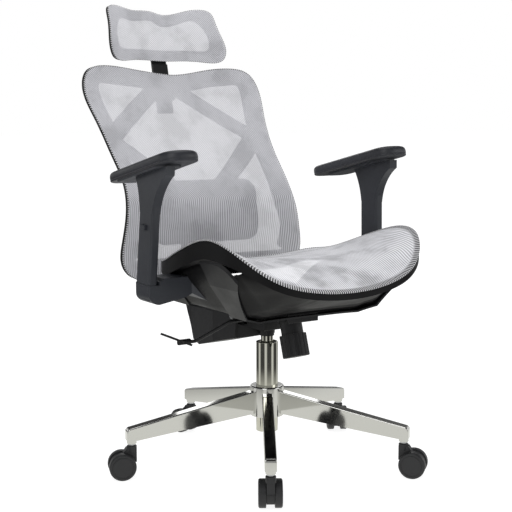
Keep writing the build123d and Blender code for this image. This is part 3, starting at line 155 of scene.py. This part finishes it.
def polished_metal(name, tint, low, high):
    """Mirror-polished or plated metal with a trace of handling haze."""
    look = Look(name)
    look.colour(look.ramp(look.noise(3.0, 5.0), (0.3, tint), (0.7, tuple(0.96 * c for c in tint))))
    look.roughness(low, high, 22.0)
    look.bump(look.noise(45.0, 2.0), 0.00008, 0.2)
    look.set(Metallic=1.0)
    return look.material


def brushed_steel():
    look = Look("brushed_steel")
    stretched = look.node("Mapping")
    stretched.inputs["Scale"].default_value = (900.0, 900.0, 40.0)
    look.link(look.place(), stretched.inputs["Vector"])
    streaks = look.noise(1.0, 2.0, 0.5, stretched.outputs["Vector"])
    look.colour(look.ramp(streaks, (0.3, (0.42, 0.43, 0.44)), (0.7, (0.6, 0.61, 0.62))))
    look.roughness(0.28, 0.42, 30.0)
    look.bump(streaks, 0.00005, 0.3)
    look.set(Metallic=1.0)
    return look.material


def soft_touch():
    """Skin of the arm pads: matte polyurethane with a fine leathery grain."""
    look = Look("soft_touch_pad")
    look.colour(look.ramp(look.noise(12.0, 4.0), (0.3, (0.014, 0.015, 0.019)), (0.7, (0.021, 0.0225, 0.029))))
    cells = look.node("TexVoronoi", feature="DISTANCE_TO_EDGE")
    cells.inputs["Scale"].default_value = 900.0
    look.link(look.place(), cells.inputs["Vector"])
    look.bump(cells.outputs["Distance"], 0.00015, 0.4)
    look.roughness(0.42, 0.52, 18.0)
    look.set(Specular_IOR_Level=0.5)
    return look.material


THREAD_PITCH = 0.0054       # repeat of the slanting yarns
YARN_PITCH = 0.0023         # repeat of the fine yarns across them
STRIPE_PITCH = 0.0052       # repeat of the bright yarns where the cloth turns over its edge
UPRIGHT_BELOW = 0.60        # height below which the yarns of the back run upright, as all over the seat
THREAD_SHARE, WEFT_SHARE = 0.40, 0.08       # how much the two sets of yarns change the cover
WANDER = 0.03               # how far the yarns stray from straight
OPEN_CLOTH = 0.64           # opacity between the yarns
YARN_OPACITY = 0.40         # what full cover adds to it
CLOUD_SCALE = 11.0
EDGE_FADE = 2.2             # how fast the stripes reach full strength towards the border


def woven_mesh(name, slant, edge_width, mottled, bright):
    """Elastic mesh cloth: translucent between the yarns, cloudy in tone, striped where it is turned over.

    slant is the lean of the yarns and edge_width the width of the striped edge. mottled is the strength of
    the clouds, and bright the tone of the clear areas.
    """
    look = Look(name)
    place, across, up = look.uv("cloth")
    _, along, inset = look.uv("edge")
    # the yarns lean above UPRIGHT_BELOW and run upright under it
    above = look.maths("MAXIMUM", look.maths("SUBTRACT", up, UPRIGHT_BELOW), 0.0)
    lean = look.maths("MULTIPLY", above, slant)
    wander = look.maths("MULTIPLY", look.noise(7.0, 2.0, 0.5, place), WANDER)
    phase = look.maths("ADD", look.maths("ADD", across, lean), wander)
    thread = look.maths("SINE", look.maths("MULTIPLY", phase, 2 * pi / THREAD_PITCH))
    weft = look.maths("SINE", look.maths("MULTIPLY", up, 2 * pi / YARN_PITCH))
    woven = look.maths("ADD", look.maths("MULTIPLY", thread, THREAD_SHARE),
                       look.maths("MULTIPLY", weft, WEFT_SHARE))
    cover = look.maths("ADD", woven, 0.5)
    clouds = look.noise(CLOUD_SCALE, 3.0, 0.55, place)
    dark, light = bright - mottled, bright + 0.3 * mottled
    tone = look.ramp(clouds, (0.38, (dark, dark, dark + 0.025)), (0.5, (bright, bright, bright + 0.03)),
                     (0.62, (light, light, light + 0.03)))
    shade = look.ramp(cover, (0.1, 0.66), (0.9, 1.0))
    body = look.node("Mix", data_type="RGBA", blend_type="MULTIPLY")
    body.inputs["Factor"].default_value = 1.0
    look.link(tone, body.inputs[6])
    look.link(shade, body.inputs[7])
    # stripes of the turned edge, which fade inwards
    stripe = look.maths("SINE", look.maths("MULTIPLY", along, 2 * pi / STRIPE_PITCH))
    striped = look.ramp(stripe, (0.25, (0.03, 0.03, 0.033)), (0.55, (0.62, 0.62, 0.63)))
    near = look.maths("SUBTRACT", 1.0, look.maths("DIVIDE", inset, edge_width))
    near = look.maths("MINIMUM", look.maths("MAXIMUM", near, 0.0), 1.0)
    share = look.maths("MINIMUM", look.maths("MULTIPLY", near, EDGE_FADE), 1.0)
    look.colour(look.mix(share, body.outputs[2], striped))
    opacity = look.maths("ADD", look.maths("MULTIPLY", cover, YARN_OPACITY), OPEN_CLOTH)
    look.link(look.maths("MINIMUM", look.maths("ADD", opacity, share), 1.0), look.shader.inputs["Alpha"])
    look.bump(cover, 0.0004, 0.5)
    look.set(Roughness=0.75, Sheen_Weight=0.25, Specular_IOR_Level=0.3)
    return look.material


looks = {
    "polished_base": polished_metal("polished_base", (0.62, 0.62, 0.595), 0.05, 0.10),
    "chrome_tube": polished_metal("chrome_tube", (0.58, 0.575, 0.50), 0.04, 0.08),
    "steel": brushed_steel(),
    "black_steel": moulded_plastic("black_steel", (0.0045, 0.0045, 0.005), (0.008, 0.008, 0.0088), 0.42,
                                   grain=1800.0, gloss=0.28),
    "black_plastic": moulded_plastic("black_plastic", (0.006, 0.0062, 0.007), (0.010, 0.0104, 0.0116), 0.46,
                                     gloss=0.34),
    # frame_plastic is black plastic, with a colour set darker than black_plastic's as painted shade under the
    # seat
    "frame_plastic": moulded_plastic("frame_plastic", (0.0035, 0.0035, 0.0038), (0.0065, 0.0065, 0.007), 0.48,
                                     gloss=0.16),
    "caster_plastic": moulded_plastic("caster_plastic", (0.011, 0.0113, 0.0125), (0.018, 0.0184, 0.020), 0.5),
    "pad_foam": soft_touch(),
    "guide_plastic": moulded_plastic("guide_plastic", (0.03, 0.03, 0.03), (0.04, 0.04, 0.04), 0.35),
}
ARM_PLASTIC = moulded_plastic("arm_plastic", (0.019, 0.021, 0.026), (0.028, 0.031, 0.038), 0.42)
seat_cloth_look = woven_mesh("seat_cloth_look", 0.0, 0.011, 0.25, 0.80)
back_cloth_look = woven_mesh("back_cloth_look", 0.9, 0.002, 0.10, 0.62)

slot_of_node = {s["node"]: s["material_slot"] for s in frame["record"]["subparts"]}


def look_for(node):
    """The material of a CAD node: its slot's, or the bluish plastic of the armrests."""
    if node.startswith(("arm_sleeve", "arm_post", "arm_bracket", "height_button")):
        return ARM_PLASTIC
    return looks.get(slot_of_node[node])


for node, thing in nodes.items():
    material = look_for(node)
    if material:
        for material_slot in thing.material_slots:
            material_slot.material = material


def shown(name, mesh, material):
    """New object in the scene, smooth shaded, with one material."""
    piece = bpy.data.objects.new(name, mesh)
    bpy.context.scene.collection.objects.link(piece)
    mesh.materials.clear()
    mesh.materials.append(material)
    for face in mesh.polygons:
        face.use_smooth = True
    return piece


# ---------------------------------------------------------------- mesh cloth
BORDER_POINTS = 300
RING_COUNT = 34
RING_CROWDING = 1.35        # above 1, the rings lie closer together near the border
RING_SHARES = [1 - (1 - i / RING_COUNT) ** RING_CROWDING for i in range(RING_COUNT + 1)]
LAST_SHARE = 0.9985         # the outermost ring, just inside the border of the CAD face
SAFE_SHARE = 0.994          # used instead where the outermost ring misses the face
INSET_SPAN = 0.2            # metres of inset, in the "edge" layer, from the border to the middle
CLOTH_GAP = 0.0004
RAY_START = 3.0             # in front of the chair
TURN = ((0.0006, 0.0004), (0.0009, 0.0016), (0.0005, 0.0034))     # out and back from the border
FRONT_FACE = 0.2            # least share of the normal towards the sitter, on the front of a CAD sheet
SIDE_FACE = 0.02            # most of it, on the thin side of the sheet


def cloth_border(thing, across, up, ahead):
    """Border of the face of a thin CAD solid that looks along -ahead, as points in its own plane."""
    bm = bmesh.new()
    bm.from_mesh(thing.data)
    bmesh.ops.remove_doubles(bm, verts=bm.verts, dist=1e-6)
    bm.normal_update()
    found = []
    for edge in bm.edges:
        if len(edge.link_faces) != 2:
            continue
        facing = sorted(-face.normal.dot(ahead) for face in edge.link_faces)
        if facing[1] > FRONT_FACE and abs(facing[0]) < SIDE_FACE:
            found += [v.co for v in edge.verts]
    points = {(round(p.dot(across), 5), round(p.dot(up), 5)) for p in found}
    bm.free()
    low = [min(p[i] for p in points) for i in (0, 1)]
    high = [max(p[i] for p in points) for i in (0, 1)]
    centre = ((low[0] + high[0]) / 2, (low[1] + high[1]) / 2)
    ordered = sorted(points, key=lambda p: atan2(p[1] - centre[1], p[0] - centre[0]))
    return centre, even_loop([Vector(p) for p in ordered], BORDER_POINTS)


def even_loop(points, count):
    """Points evenly spaced along a closed line."""
    lengths = [0.0]
    closed = points + points[:1]
    for a, b in zip(closed, closed[1:]):
        lengths.append(lengths[-1] + (b - a).length)
    result, at = [], 0
    for i in range(count):
        target = lengths[-1] * i / count
        while lengths[at + 1] < target:
            at += 1
        step = lengths[at + 1] - lengths[at]
        share = (target - lengths[at]) / step if step else 0.0
        result.append(closed[at].lerp(closed[at + 1], share))
    for _ in range(3):
        result = [(result[i - 1] + 2 * p + result[(i + 1) % count]) / 4 for i, p in enumerate(result)]
    return result


def cloth(name, node, across, up, material):
    """Sheet of mesh cloth over the outer face of its CAD solid, turned over at the border."""
    across, up = Vector(across), Vector(up)
    ahead = -across.cross(up)
    thing = nodes[node]
    tree = BVHTree.FromObject(thing, bpy.context.evaluated_depsgraph_get())
    centre, border = cloth_border(thing, across, up, ahead)
    middle = Vector(centre)
    perimeter = sum((border[i] - border[i - 1]).length for i in range(BORDER_POINTS))

    def on_face(flat):
        """The point of the CAD face behind a point of the plane."""
        start = across * flat.x + up * flat.y - ahead * RAY_START
        hit = tree.ray_cast(start, ahead)[0]
        return hit - ahead * CLOTH_GAP if hit else None

    bm = bmesh.new()
    cloth_uv = bm.loops.layers.uv.new("cloth")
    edge_uv = bm.loops.layers.uv.new("edge")
    pole = bm.verts.new(on_face(middle))
    rings, insets = [], []
    for share in RING_SHARES[1:]:
        ring = []
        for point in border:
            flat = middle.lerp(point, min(share, LAST_SHARE))
            ring.append(bm.verts.new(on_face(flat) or on_face(middle.lerp(point, SAFE_SHARE))))
        rings.append(ring)
        insets.append((1 - share) * INSET_SPAN)
    centre_line = across * middle.x + up * middle.y
    border_out = []
    for i, vert in enumerate(rings[-1]):
        run = rings[-1][(i + 1) % BORDER_POINTS].co - rings[-1][i - 1].co
        outward = run.cross(ahead)
        border_out.append(outward.normalized() * (1 if outward.dot(vert.co - centre_line) > 0 else -1))
    last = [v.co.copy() for v in rings[-1]]
    for out, back in TURN:
        rings.append([bm.verts.new(p + n * out + ahead * back) for p, n in zip(last, border_out)])
        insets.append(0.0)
    for i in range(BORDER_POINTS):
        j = (i + 1) % BORDER_POINTS
        bm.faces.new((pole, rings[0][i], rings[0][j]))
        for inner, outer in zip(rings, rings[1:]):
            bm.faces.new((inner[i], outer[i], outer[j], inner[j]))
    ring_of = {v: (k, i) for k, ring in enumerate(rings) for i, v in enumerate(ring)}
    for face in bm.faces:
        columns = [ring_of[v][1] for v in face.verts if v in ring_of]
        wraps = max(columns) - min(columns) > 1
        for loop in face.loops:
            k, i = ring_of.get(loop.vert, (0, columns[0]))
            step = i + BORDER_POINTS if wraps and i == 0 else i
            loop[cloth_uv].uv = (loop.vert.co.dot(across), loop.vert.co.dot(up))
            inset = insets[k] if loop.vert in ring_of else INSET_SPAN
            loop[edge_uv].uv = (perimeter * step / BORDER_POINTS, inset)
    bmesh.ops.recalc_face_normals(bm, faces=bm.faces)
    mesh = bpy.data.meshes.new(name)
    bm.to_mesh(mesh)
    bm.free()
    piece = shown(name, mesh, material)
    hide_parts(node)
    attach(piece, body_of_node[node])


cloth("seat_cloth", "seat_mesh", (1, 0, 0), (0, 1, 0), seat_cloth_look)
cloth("back_cloth", "back_mesh", (1, 0, 0), (0, 0, 1), back_cloth_look)
cloth("headrest_cloth", "headrest_mesh", (1, 0, 0), (0, 0, 1), back_cloth_look)

# ---------------------------------------------------------------- arm pads
PAD_POINTS = 128            # round the outline
CORNER_STEPS = 7            # in each quarter circle of the outline
PAD_TILT = 12.0             # degrees
PAD_THICKNESS = 0.024
PAD_STRAIGHT = 0.008        # half the straight part of the pad's ends
# section of the side, from below to above: height as a share of the thickness, and inset in metres
PAD_SECTION = ((-0.5, 0.006), (-0.47, 0.0022), (-0.40, 0.0004), (-0.30, 0.0), (-0.27, 0.0012), (-0.24, 0.0),
               (0.0, 0.0), (0.18, 0.0006), (0.32, 0.0026), (0.42, 0.006), (0.48, 0.0105), (0.5, 0.016))
PAD_TOP_SHARES = (0.9, 0.75, 0.55, 0.35, 0.15)      # rings of the top, from its rim to its middle
PAD_DISH = 0.0016
PAD_END_SHARE = 0.45        # how far the top rings draw back from the ends


def arm_pad(side):
    """Crowned foam pad with a dished top and a parting seam, in the space of its CAD solid."""
    node = f"arm_pad_{side}"
    low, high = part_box(node)
    tilt = radians(PAD_TILT)
    # along the pad, from its rear lower corner to its front upper one
    length_y = high.y - low.y
    length = (length_y - PAD_THICKNESS * sin(tilt)) / cos(tilt)
    width = high.x - low.x
    centre = (low + high) / 2
    frame_of_pad = Matrix.Translation(centre) @ Matrix.Rotation(-tilt, 4, "X")
    bm = bmesh.new()
    corner = width / 2 - PAD_STRAIGHT
    outline = []
    for quarter, (cx, cy) in enumerate(((1, 1), (-1, 1), (-1, -1), (1, -1))):
        for k in range(CORNER_STEPS + 1):
            angle = pi / 2 * (quarter + k / CORNER_STEPS)
            outline.append(Vector((cx * (width / 2 - corner) + corner * cos(angle),
                                   cy * (length / 2 - corner) + corner * sin(angle))))
    loop = even_loop(outline, PAD_POINTS)
    normals = []
    for i in range(PAD_POINTS):
        run = loop[(i + 1) % PAD_POINTS] - loop[i - 1]
        normals.append(Vector((run.y, -run.x)).normalized())
    rings = [[bm.verts.new((p.x - n.x * inset, p.y - n.y * inset, height * PAD_THICKNESS))
              for p, n in zip(loop, normals)] for height, inset in PAD_SECTION]
    rim = rings[-1]
    for share in PAD_TOP_SHARES:
        dip = PAD_DISH * (1 - share)
        rings.append([bm.verts.new((v.co.x * share, v.co.y * (1 - (1 - share) * PAD_END_SHARE),
                                    PAD_THICKNESS / 2 - dip)) for v in rim])
    for inner, outer in zip(rings, rings[1:]):
        for i in range(PAD_POINTS):
            j = (i + 1) % PAD_POINTS
            bm.faces.new((inner[i], inner[j], outer[j], outer[i]))
    bm.faces.new(list(reversed(rings[0])))
    bm.faces.new(rings[-1])
    bmesh.ops.recalc_face_normals(bm, faces=bm.faces)
    mesh = bpy.data.meshes.new(f"arm_cushion_{side}")
    bm.to_mesh(mesh)
    bm.free()
    mesh.transform(frame_of_pad)
    piece = shown(f"arm_cushion_{side}", mesh, looks["pad_foam"])
    smooth = piece.modifiers.new("Subdivision", "SUBSURF")
    smooth.levels = smooth.render_levels = 1
    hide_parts(node)
    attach(piece, body_of_node[node])


for side in ("left", "right"):
    arm_pad(side)

# ---------------------------------------------------------------- skins under the seat
# underside of the seat shell: distance from the middle, and height
SHELL_PROFILE = ((0.0, 0.366), (0.130, 0.366), (0.172, 0.378), (0.222, 0.450), (0.262, 0.530))
BELOW_SEAT = 0.2            # height from which the rim is sought upwards
PROBE_STEP = 0.002          # between the places where the rim is sought
SKIN_WALL = 0.0025
FRONT_CENTRE = Vector((0.0, -0.17))     # the front of the rim is sought outwards from here
FRONT_REACH = 0.08          # where that search begins
FRONT_PROBES = 120
FRONT_BEARINGS = (200, 340)     # degrees, from the near side round the front
FRONT_COLUMNS = 60
RIM_COVER = 0.012           # how far the front skin ends inside the rim's outer edge
RIM_BACKUP = 0.004          # the same, where the rim has no underside there
SKIN_LAP = 0.002            # how far the front skin goes up into the rim
SHELL_LAP = 0.0065          # its height over the underside of the shell, where it starts
SHELL_HALF_WIDTH = 0.236
SHELL_FRONT = -0.138        # Y where the front skin starts, on the middle line
FRONT_BOW = 0.014           # how far it starts further forward at FLAT_HALF_WIDTH
FLAT_HALF_WIDTH = 0.15
SWEEP = (0.1, 0.100, 1.3)   # beyond that: the width that it takes, how far forward it goes, its power
# rows of the front skin, as shares of the way from the shell to the rim
FRONT_SHARES = (0.0, 0.10, 0.115, 0.21, 0.225, 0.35, 0.5, 0.65, 0.8, 0.92, 1.0)
BELLY = 0.010
STEPS_AT = (0.11, 0.22)
STEP_HEIGHT = 0.004
SIDE_ROWS, SIDE_COLUMNS = 18, 14
SIDE_Y = (-0.150, 0.058)
SIDE_INNER = 0.126          # distance from the middle where the side skins start
SIDE_PROBE_START = 0.14
SIDE_PROBES = 60
SIDE_COVER = 0.014          # how far a side skin ends inside the rim's outer edge
SIDE_RECESS = 0.007         # its height over the underside of the shell
SIDE_LAP = 0.003            # how far it goes up into the rim
seat_rim = BVHTree.FromObject(nodes["seat_frame"], bpy.context.evaluated_depsgraph_get())


def shell_height(x):
    """Height of the shell's underside at a distance from the middle."""
    for (x0, z0), (x1, z1) in zip(SHELL_PROFILE, SHELL_PROFILE[1:]):
        if abs(x) <= x1:
            return z0 + (z1 - z0) * (abs(x) - x0) / (x1 - x0)
    return SHELL_PROFILE[-1][1]


def rim_height(x, y):
    """Underside of the seat rim over a point, or None."""
    hit = seat_rim.ray_cast(Vector((x, y, BELOW_SEAT)), Vector((0, 0, 1)))[0]
    return hit.z if hit else None


def skin(name, rows):
    """Thin moulded wall through rows of points, fixed to the seat."""
    bm = bmesh.new()
    grid = [[bm.verts.new(p) for p in row] for row in rows]
    for near, far_row in zip(grid, grid[1:]):
        for i in range(len(near) - 1):
            bm.faces.new((near[i], near[i + 1], far_row[i + 1], far_row[i]))
    bmesh.ops.recalc_face_normals(bm, faces=bm.faces)
    mesh = bpy.data.meshes.new(name)
    bm.to_mesh(mesh)
    bm.free()
    piece = shown(name, mesh, looks["frame_plastic"])
    wall = piece.modifiers.new("Solidify", "SOLIDIFY")
    wall.thickness = SKIN_WALL
    wall.offset = 0.0
    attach(piece, "seat")


def front_skin():
    """Belly between the front edge of the shell and the seat rim, with two steps near the shell."""
    outer, inner = [], []
    sweep_width, sweep_depth, sweep_power = SWEEP
    for k in range(FRONT_COLUMNS + 1):
        t = k / FRONT_COLUMNS
        turn = radians(FRONT_BEARINGS[0] + (FRONT_BEARINGS[1] - FRONT_BEARINGS[0]) * t)
        ray = Vector((cos(turn), sin(turn)))
        edge = max(r for r in (FRONT_REACH + PROBE_STEP * i for i in range(FRONT_PROBES))
                   if rim_height(*(FRONT_CENTRE + ray * r)) is not None)
        place = FRONT_CENTRE + ray * (edge - RIM_COVER)
        height = rim_height(*place) or rim_height(*(FRONT_CENTRE + ray * (edge - RIM_BACKUP)))
        outer.append(Vector((place.x, place.y, height + SKIN_LAP)))
        x = -SHELL_HALF_WIDTH * cos(pi * t)
        beyond = max(abs(x) - FLAT_HALF_WIDTH, 0.0) / sweep_width
        bow = FRONT_BOW * min(abs(x) / FLAT_HALF_WIDTH, 1.0) ** 2
        y = SHELL_FRONT - bow - sweep_depth * beyond ** sweep_power
        inner.append(Vector((x, y, shell_height(x) + SHELL_LAP)))
    rows = []
    for share in FRONT_SHARES:
        steps = sum(share > start for start in STEPS_AT)
        drop = (BELLY * sin(pi * share) - STEP_HEIGHT * steps) * (1 - share)
        rows.append([a.lerp(b, share) - Vector((0, 0, drop)) for a, b in zip(inner, outer)])
    skin("seat_front_skin", rows)


def side_skin(side):
    """Recessed wall behind the side opening of the shell."""
    sign = {"left": 1, "right": -1}[side]
    rows = []
    for j in range(SIDE_ROWS + 1):
        y = SIDE_Y[0] + (SIDE_Y[1] - SIDE_Y[0]) * j / SIDE_ROWS
        widest = max(x for x in (SIDE_PROBE_START + PROBE_STEP * i for i in range(SIDE_PROBES))
                     if rim_height(x, y) is not None) - SIDE_COVER
        top = rim_height(widest, y) + SIDE_LAP
        row = []
        for i in range(SIDE_COLUMNS + 1):
            x = SIDE_INNER + (widest - SIDE_INNER) * i / SIDE_COLUMNS
            low = rim_height(x, y)
            z = min(shell_height(x) + SIDE_RECESS, top if low is None else low + SIDE_LAP)
            row.append(Vector((sign * x, y, top if i == SIDE_COLUMNS else z)))
        rows.append(row)
    skin(f"seat_side_skin_{side}", rows)


front_skin()
for side in ("left", "right"):
    side_skin(side)

# ---------------------------------------------------------------- stage, light and camera
FLOOR_SIZE = 80             # wide enough to reach the horizon
FLOOR_GLOW = 0.88           # keeps the floor white beside the chair
SECTORS = 5                 # painted dark sectors in the floor, seen only in the reflections of polished metal
SECTOR_PHASE = 0.9
bpy.ops.mesh.primitive_plane_add(size=FLOOR_SIZE, location=(0, 0, 0))
floor = bpy.context.object
floor.name = "floor"
floor_look = Look("pale_floor")
floor_look.colour(floor_look.ramp(floor_look.noise(1.5, 3.0), (0.3, 0.30), (0.7, 0.33)))
floor_look.set(Roughness=0.8, Specular_IOR_Level=0.0, Emission_Color=(1.0, 1.0, 1.0, 1.0),
               Emission_Strength=FLOOR_GLOW)
# painted reflection: to reflected rays the floor shows darker sectors, as between the walls of a studio, and
# stays pale near the chair
floor_place = floor_look.node("SeparateXYZ")
floor_look.link(floor_look.place(), floor_place.inputs[0])
bearing = floor_look.maths("ARCTAN2", floor_place.outputs[1], floor_place.outputs[0])
turns = floor_look.maths("MULTIPLY", bearing, float(SECTORS))
sector = floor_look.maths("SINE", floor_look.maths("ADD", turns, SECTOR_PHASE))
reach = floor_look.node("VectorMath", operation="LENGTH")
floor_look.link(floor_look.place(), reach.inputs[0])
far = floor_look.ramp(floor_look.maths("MULTIPLY", reach.outputs["Value"], 0.5), (0.30, 0.0), (0.5, 1.0))
painted_floor_reflection = floor_look.node("Emission")
painted_sector_tone = floor_look.ramp(sector, (0.12, 0.07), (0.9, 0.85))
floor_look.link(floor_look.mix(far, (0.92, 0.92, 0.88), painted_sector_tone), painted_floor_reflection.inputs["Color"])
# painted reflection: only glossy rays see the emitted sectors, other rays see the lit floor
ray = floor_look.node("LightPath")
floor_mix = floor_look.node("MixShader")
floor_look.link(ray.outputs["Is Glossy Ray"], floor_mix.inputs[0])
floor_look.link(floor_look.shader.outputs[0], floor_mix.inputs[1])
floor_look.link(painted_floor_reflection.outputs[0], floor_mix.inputs[2])
floor_look.link(floor_mix.outputs[0], floor_look.tree.nodes["Material Output"].inputs["Surface"])
floor.data.materials.append(floor_look.material)


def area_light(name, place, target, size, power):
    """Rectangular lamp, its power in watts."""
    lamp = bpy.data.lights.new(name, "AREA")
    lamp.shape = "RECTANGLE"
    lamp.size, lamp.size_y = size
    lamp.energy = power
    thing = bpy.data.objects.new(name, lamp)
    thing.location = place
    thing.rotation_euler = (Vector(target) - Vector(place)).to_track_quat("-Z", "Y").to_euler()
    bpy.context.scene.collection.objects.link(thing)


area_light("key", (-2.6, -2.0, 2.6), (0, 0, 0.5), (1.8, 1.8), 34)
area_light("fill", (2.4, -2.4, 1.6), (0, 0, 0.5), (2.0, 1.6), 18)
area_light("top", (0.2, 0.4, 3.2), (0, 0, 0.4), (2.2, 2.2), 26)
area_light("rim", (1.6, 2.6, 1.8), (0, 0, 0.6), (1.6, 1.4), 14)

AMBIENT = 0.62
# painted reflection: what polished metal mirrors above the floor, as grey by height: pale walls, a dark
# ceiling; only glossy rays see it
PAINTED_REFLECTION_STOPS = ((0.0, 0.75), (0.12, 1.0), (0.24, 0.5), (0.33, 0.05), (0.75, 0.02), (1.0, 0.25))

world = bpy.data.worlds.new("studio")
world.use_nodes = True
bpy.context.scene.world = world
sky = world.node_tree
for old in list(sky.nodes):
    sky.nodes.remove(old)


def sky_node(kind):
    return sky.nodes.new("ShaderNode" + kind)


def sky_mix(chosen_by, otherwise, chosen):
    """Mix shader that takes its second input where a kind of ray asks for it."""
    made = sky_node("MixShader")
    for source, target in ((chosen_by, 0), (otherwise, 1), (chosen, 2)):
        sky.links.new(source, made.inputs[target])
    return made.outputs[0]


light_path = sky_node("LightPath")
backdrop = sky_node("Background")
backdrop.inputs["Color"].default_value = (1.0, 1.0, 1.0, 1)
plain = sky_node("Background")
plain.inputs["Color"].default_value = (0.97, 0.975, 1.0, 1)
plain.inputs["Strength"].default_value = AMBIENT
painted_sky_reflection = sky_node("Background")
coordinates = sky_node("TexCoord")
split_up = sky_node("SeparateXYZ")
heights = sky_node("ValToRGB")
sky.links.new(coordinates.outputs["Generated"], split_up.inputs[0])
sky.links.new(split_up.outputs[2], heights.inputs["Fac"])
heights.color_ramp.elements[1].position = 1.0
for position, grey in PAINTED_REFLECTION_STOPS[1:-1]:
    heights.color_ramp.elements.new(position)
for element, (position, grey) in zip(heights.color_ramp.elements, PAINTED_REFLECTION_STOPS):
    element.position = position
    element.color = (grey, grey, grey, 1)
sky.links.new(heights.outputs["Color"], painted_sky_reflection.inputs["Color"])
# glossy rays see the painted reflection, the other rays the plain ambient
lit = sky_mix(light_path.outputs["Is Glossy Ray"], plain.outputs[0], painted_sky_reflection.outputs[0])
seen = sky_mix(light_path.outputs["Is Camera Ray"], lit, backdrop.outputs[0])
sky.links.new(seen, sky_node("OutputWorld").inputs["Surface"])

CAMERA_DISTANCE = 2.4945        # from the column axis
CAMERA_HEIGHT = 0.797
CAMERA_AZIMUTH = -33.57         # degrees, 0 looks along +Y
CAMERA_PITCH = -7.18
FOCAL_LENGTH = 78.1             # millimetres
SENSOR_WIDTH = 36
FRAMING_SHIFT = -0.0215
azimuth = radians(CAMERA_AZIMUTH)
lens = bpy.data.cameras.new("camera")
lens.sensor_width = SENSOR_WIDTH
lens.lens = FOCAL_LENGTH
lens.shift_x = FRAMING_SHIFT
camera = bpy.data.objects.new("camera", lens)
camera.location = (CAMERA_DISTANCE * sin(azimuth), -CAMERA_DISTANCE * cos(azimuth), CAMERA_HEIGHT)
camera.rotation_euler = (radians(90 + CAMERA_PITCH), 0, azimuth)
bpy.context.scene.collection.objects.link(camera)
bpy.context.scene.camera = camera
bpy.context.scene.view_settings.view_transform = "Standard"
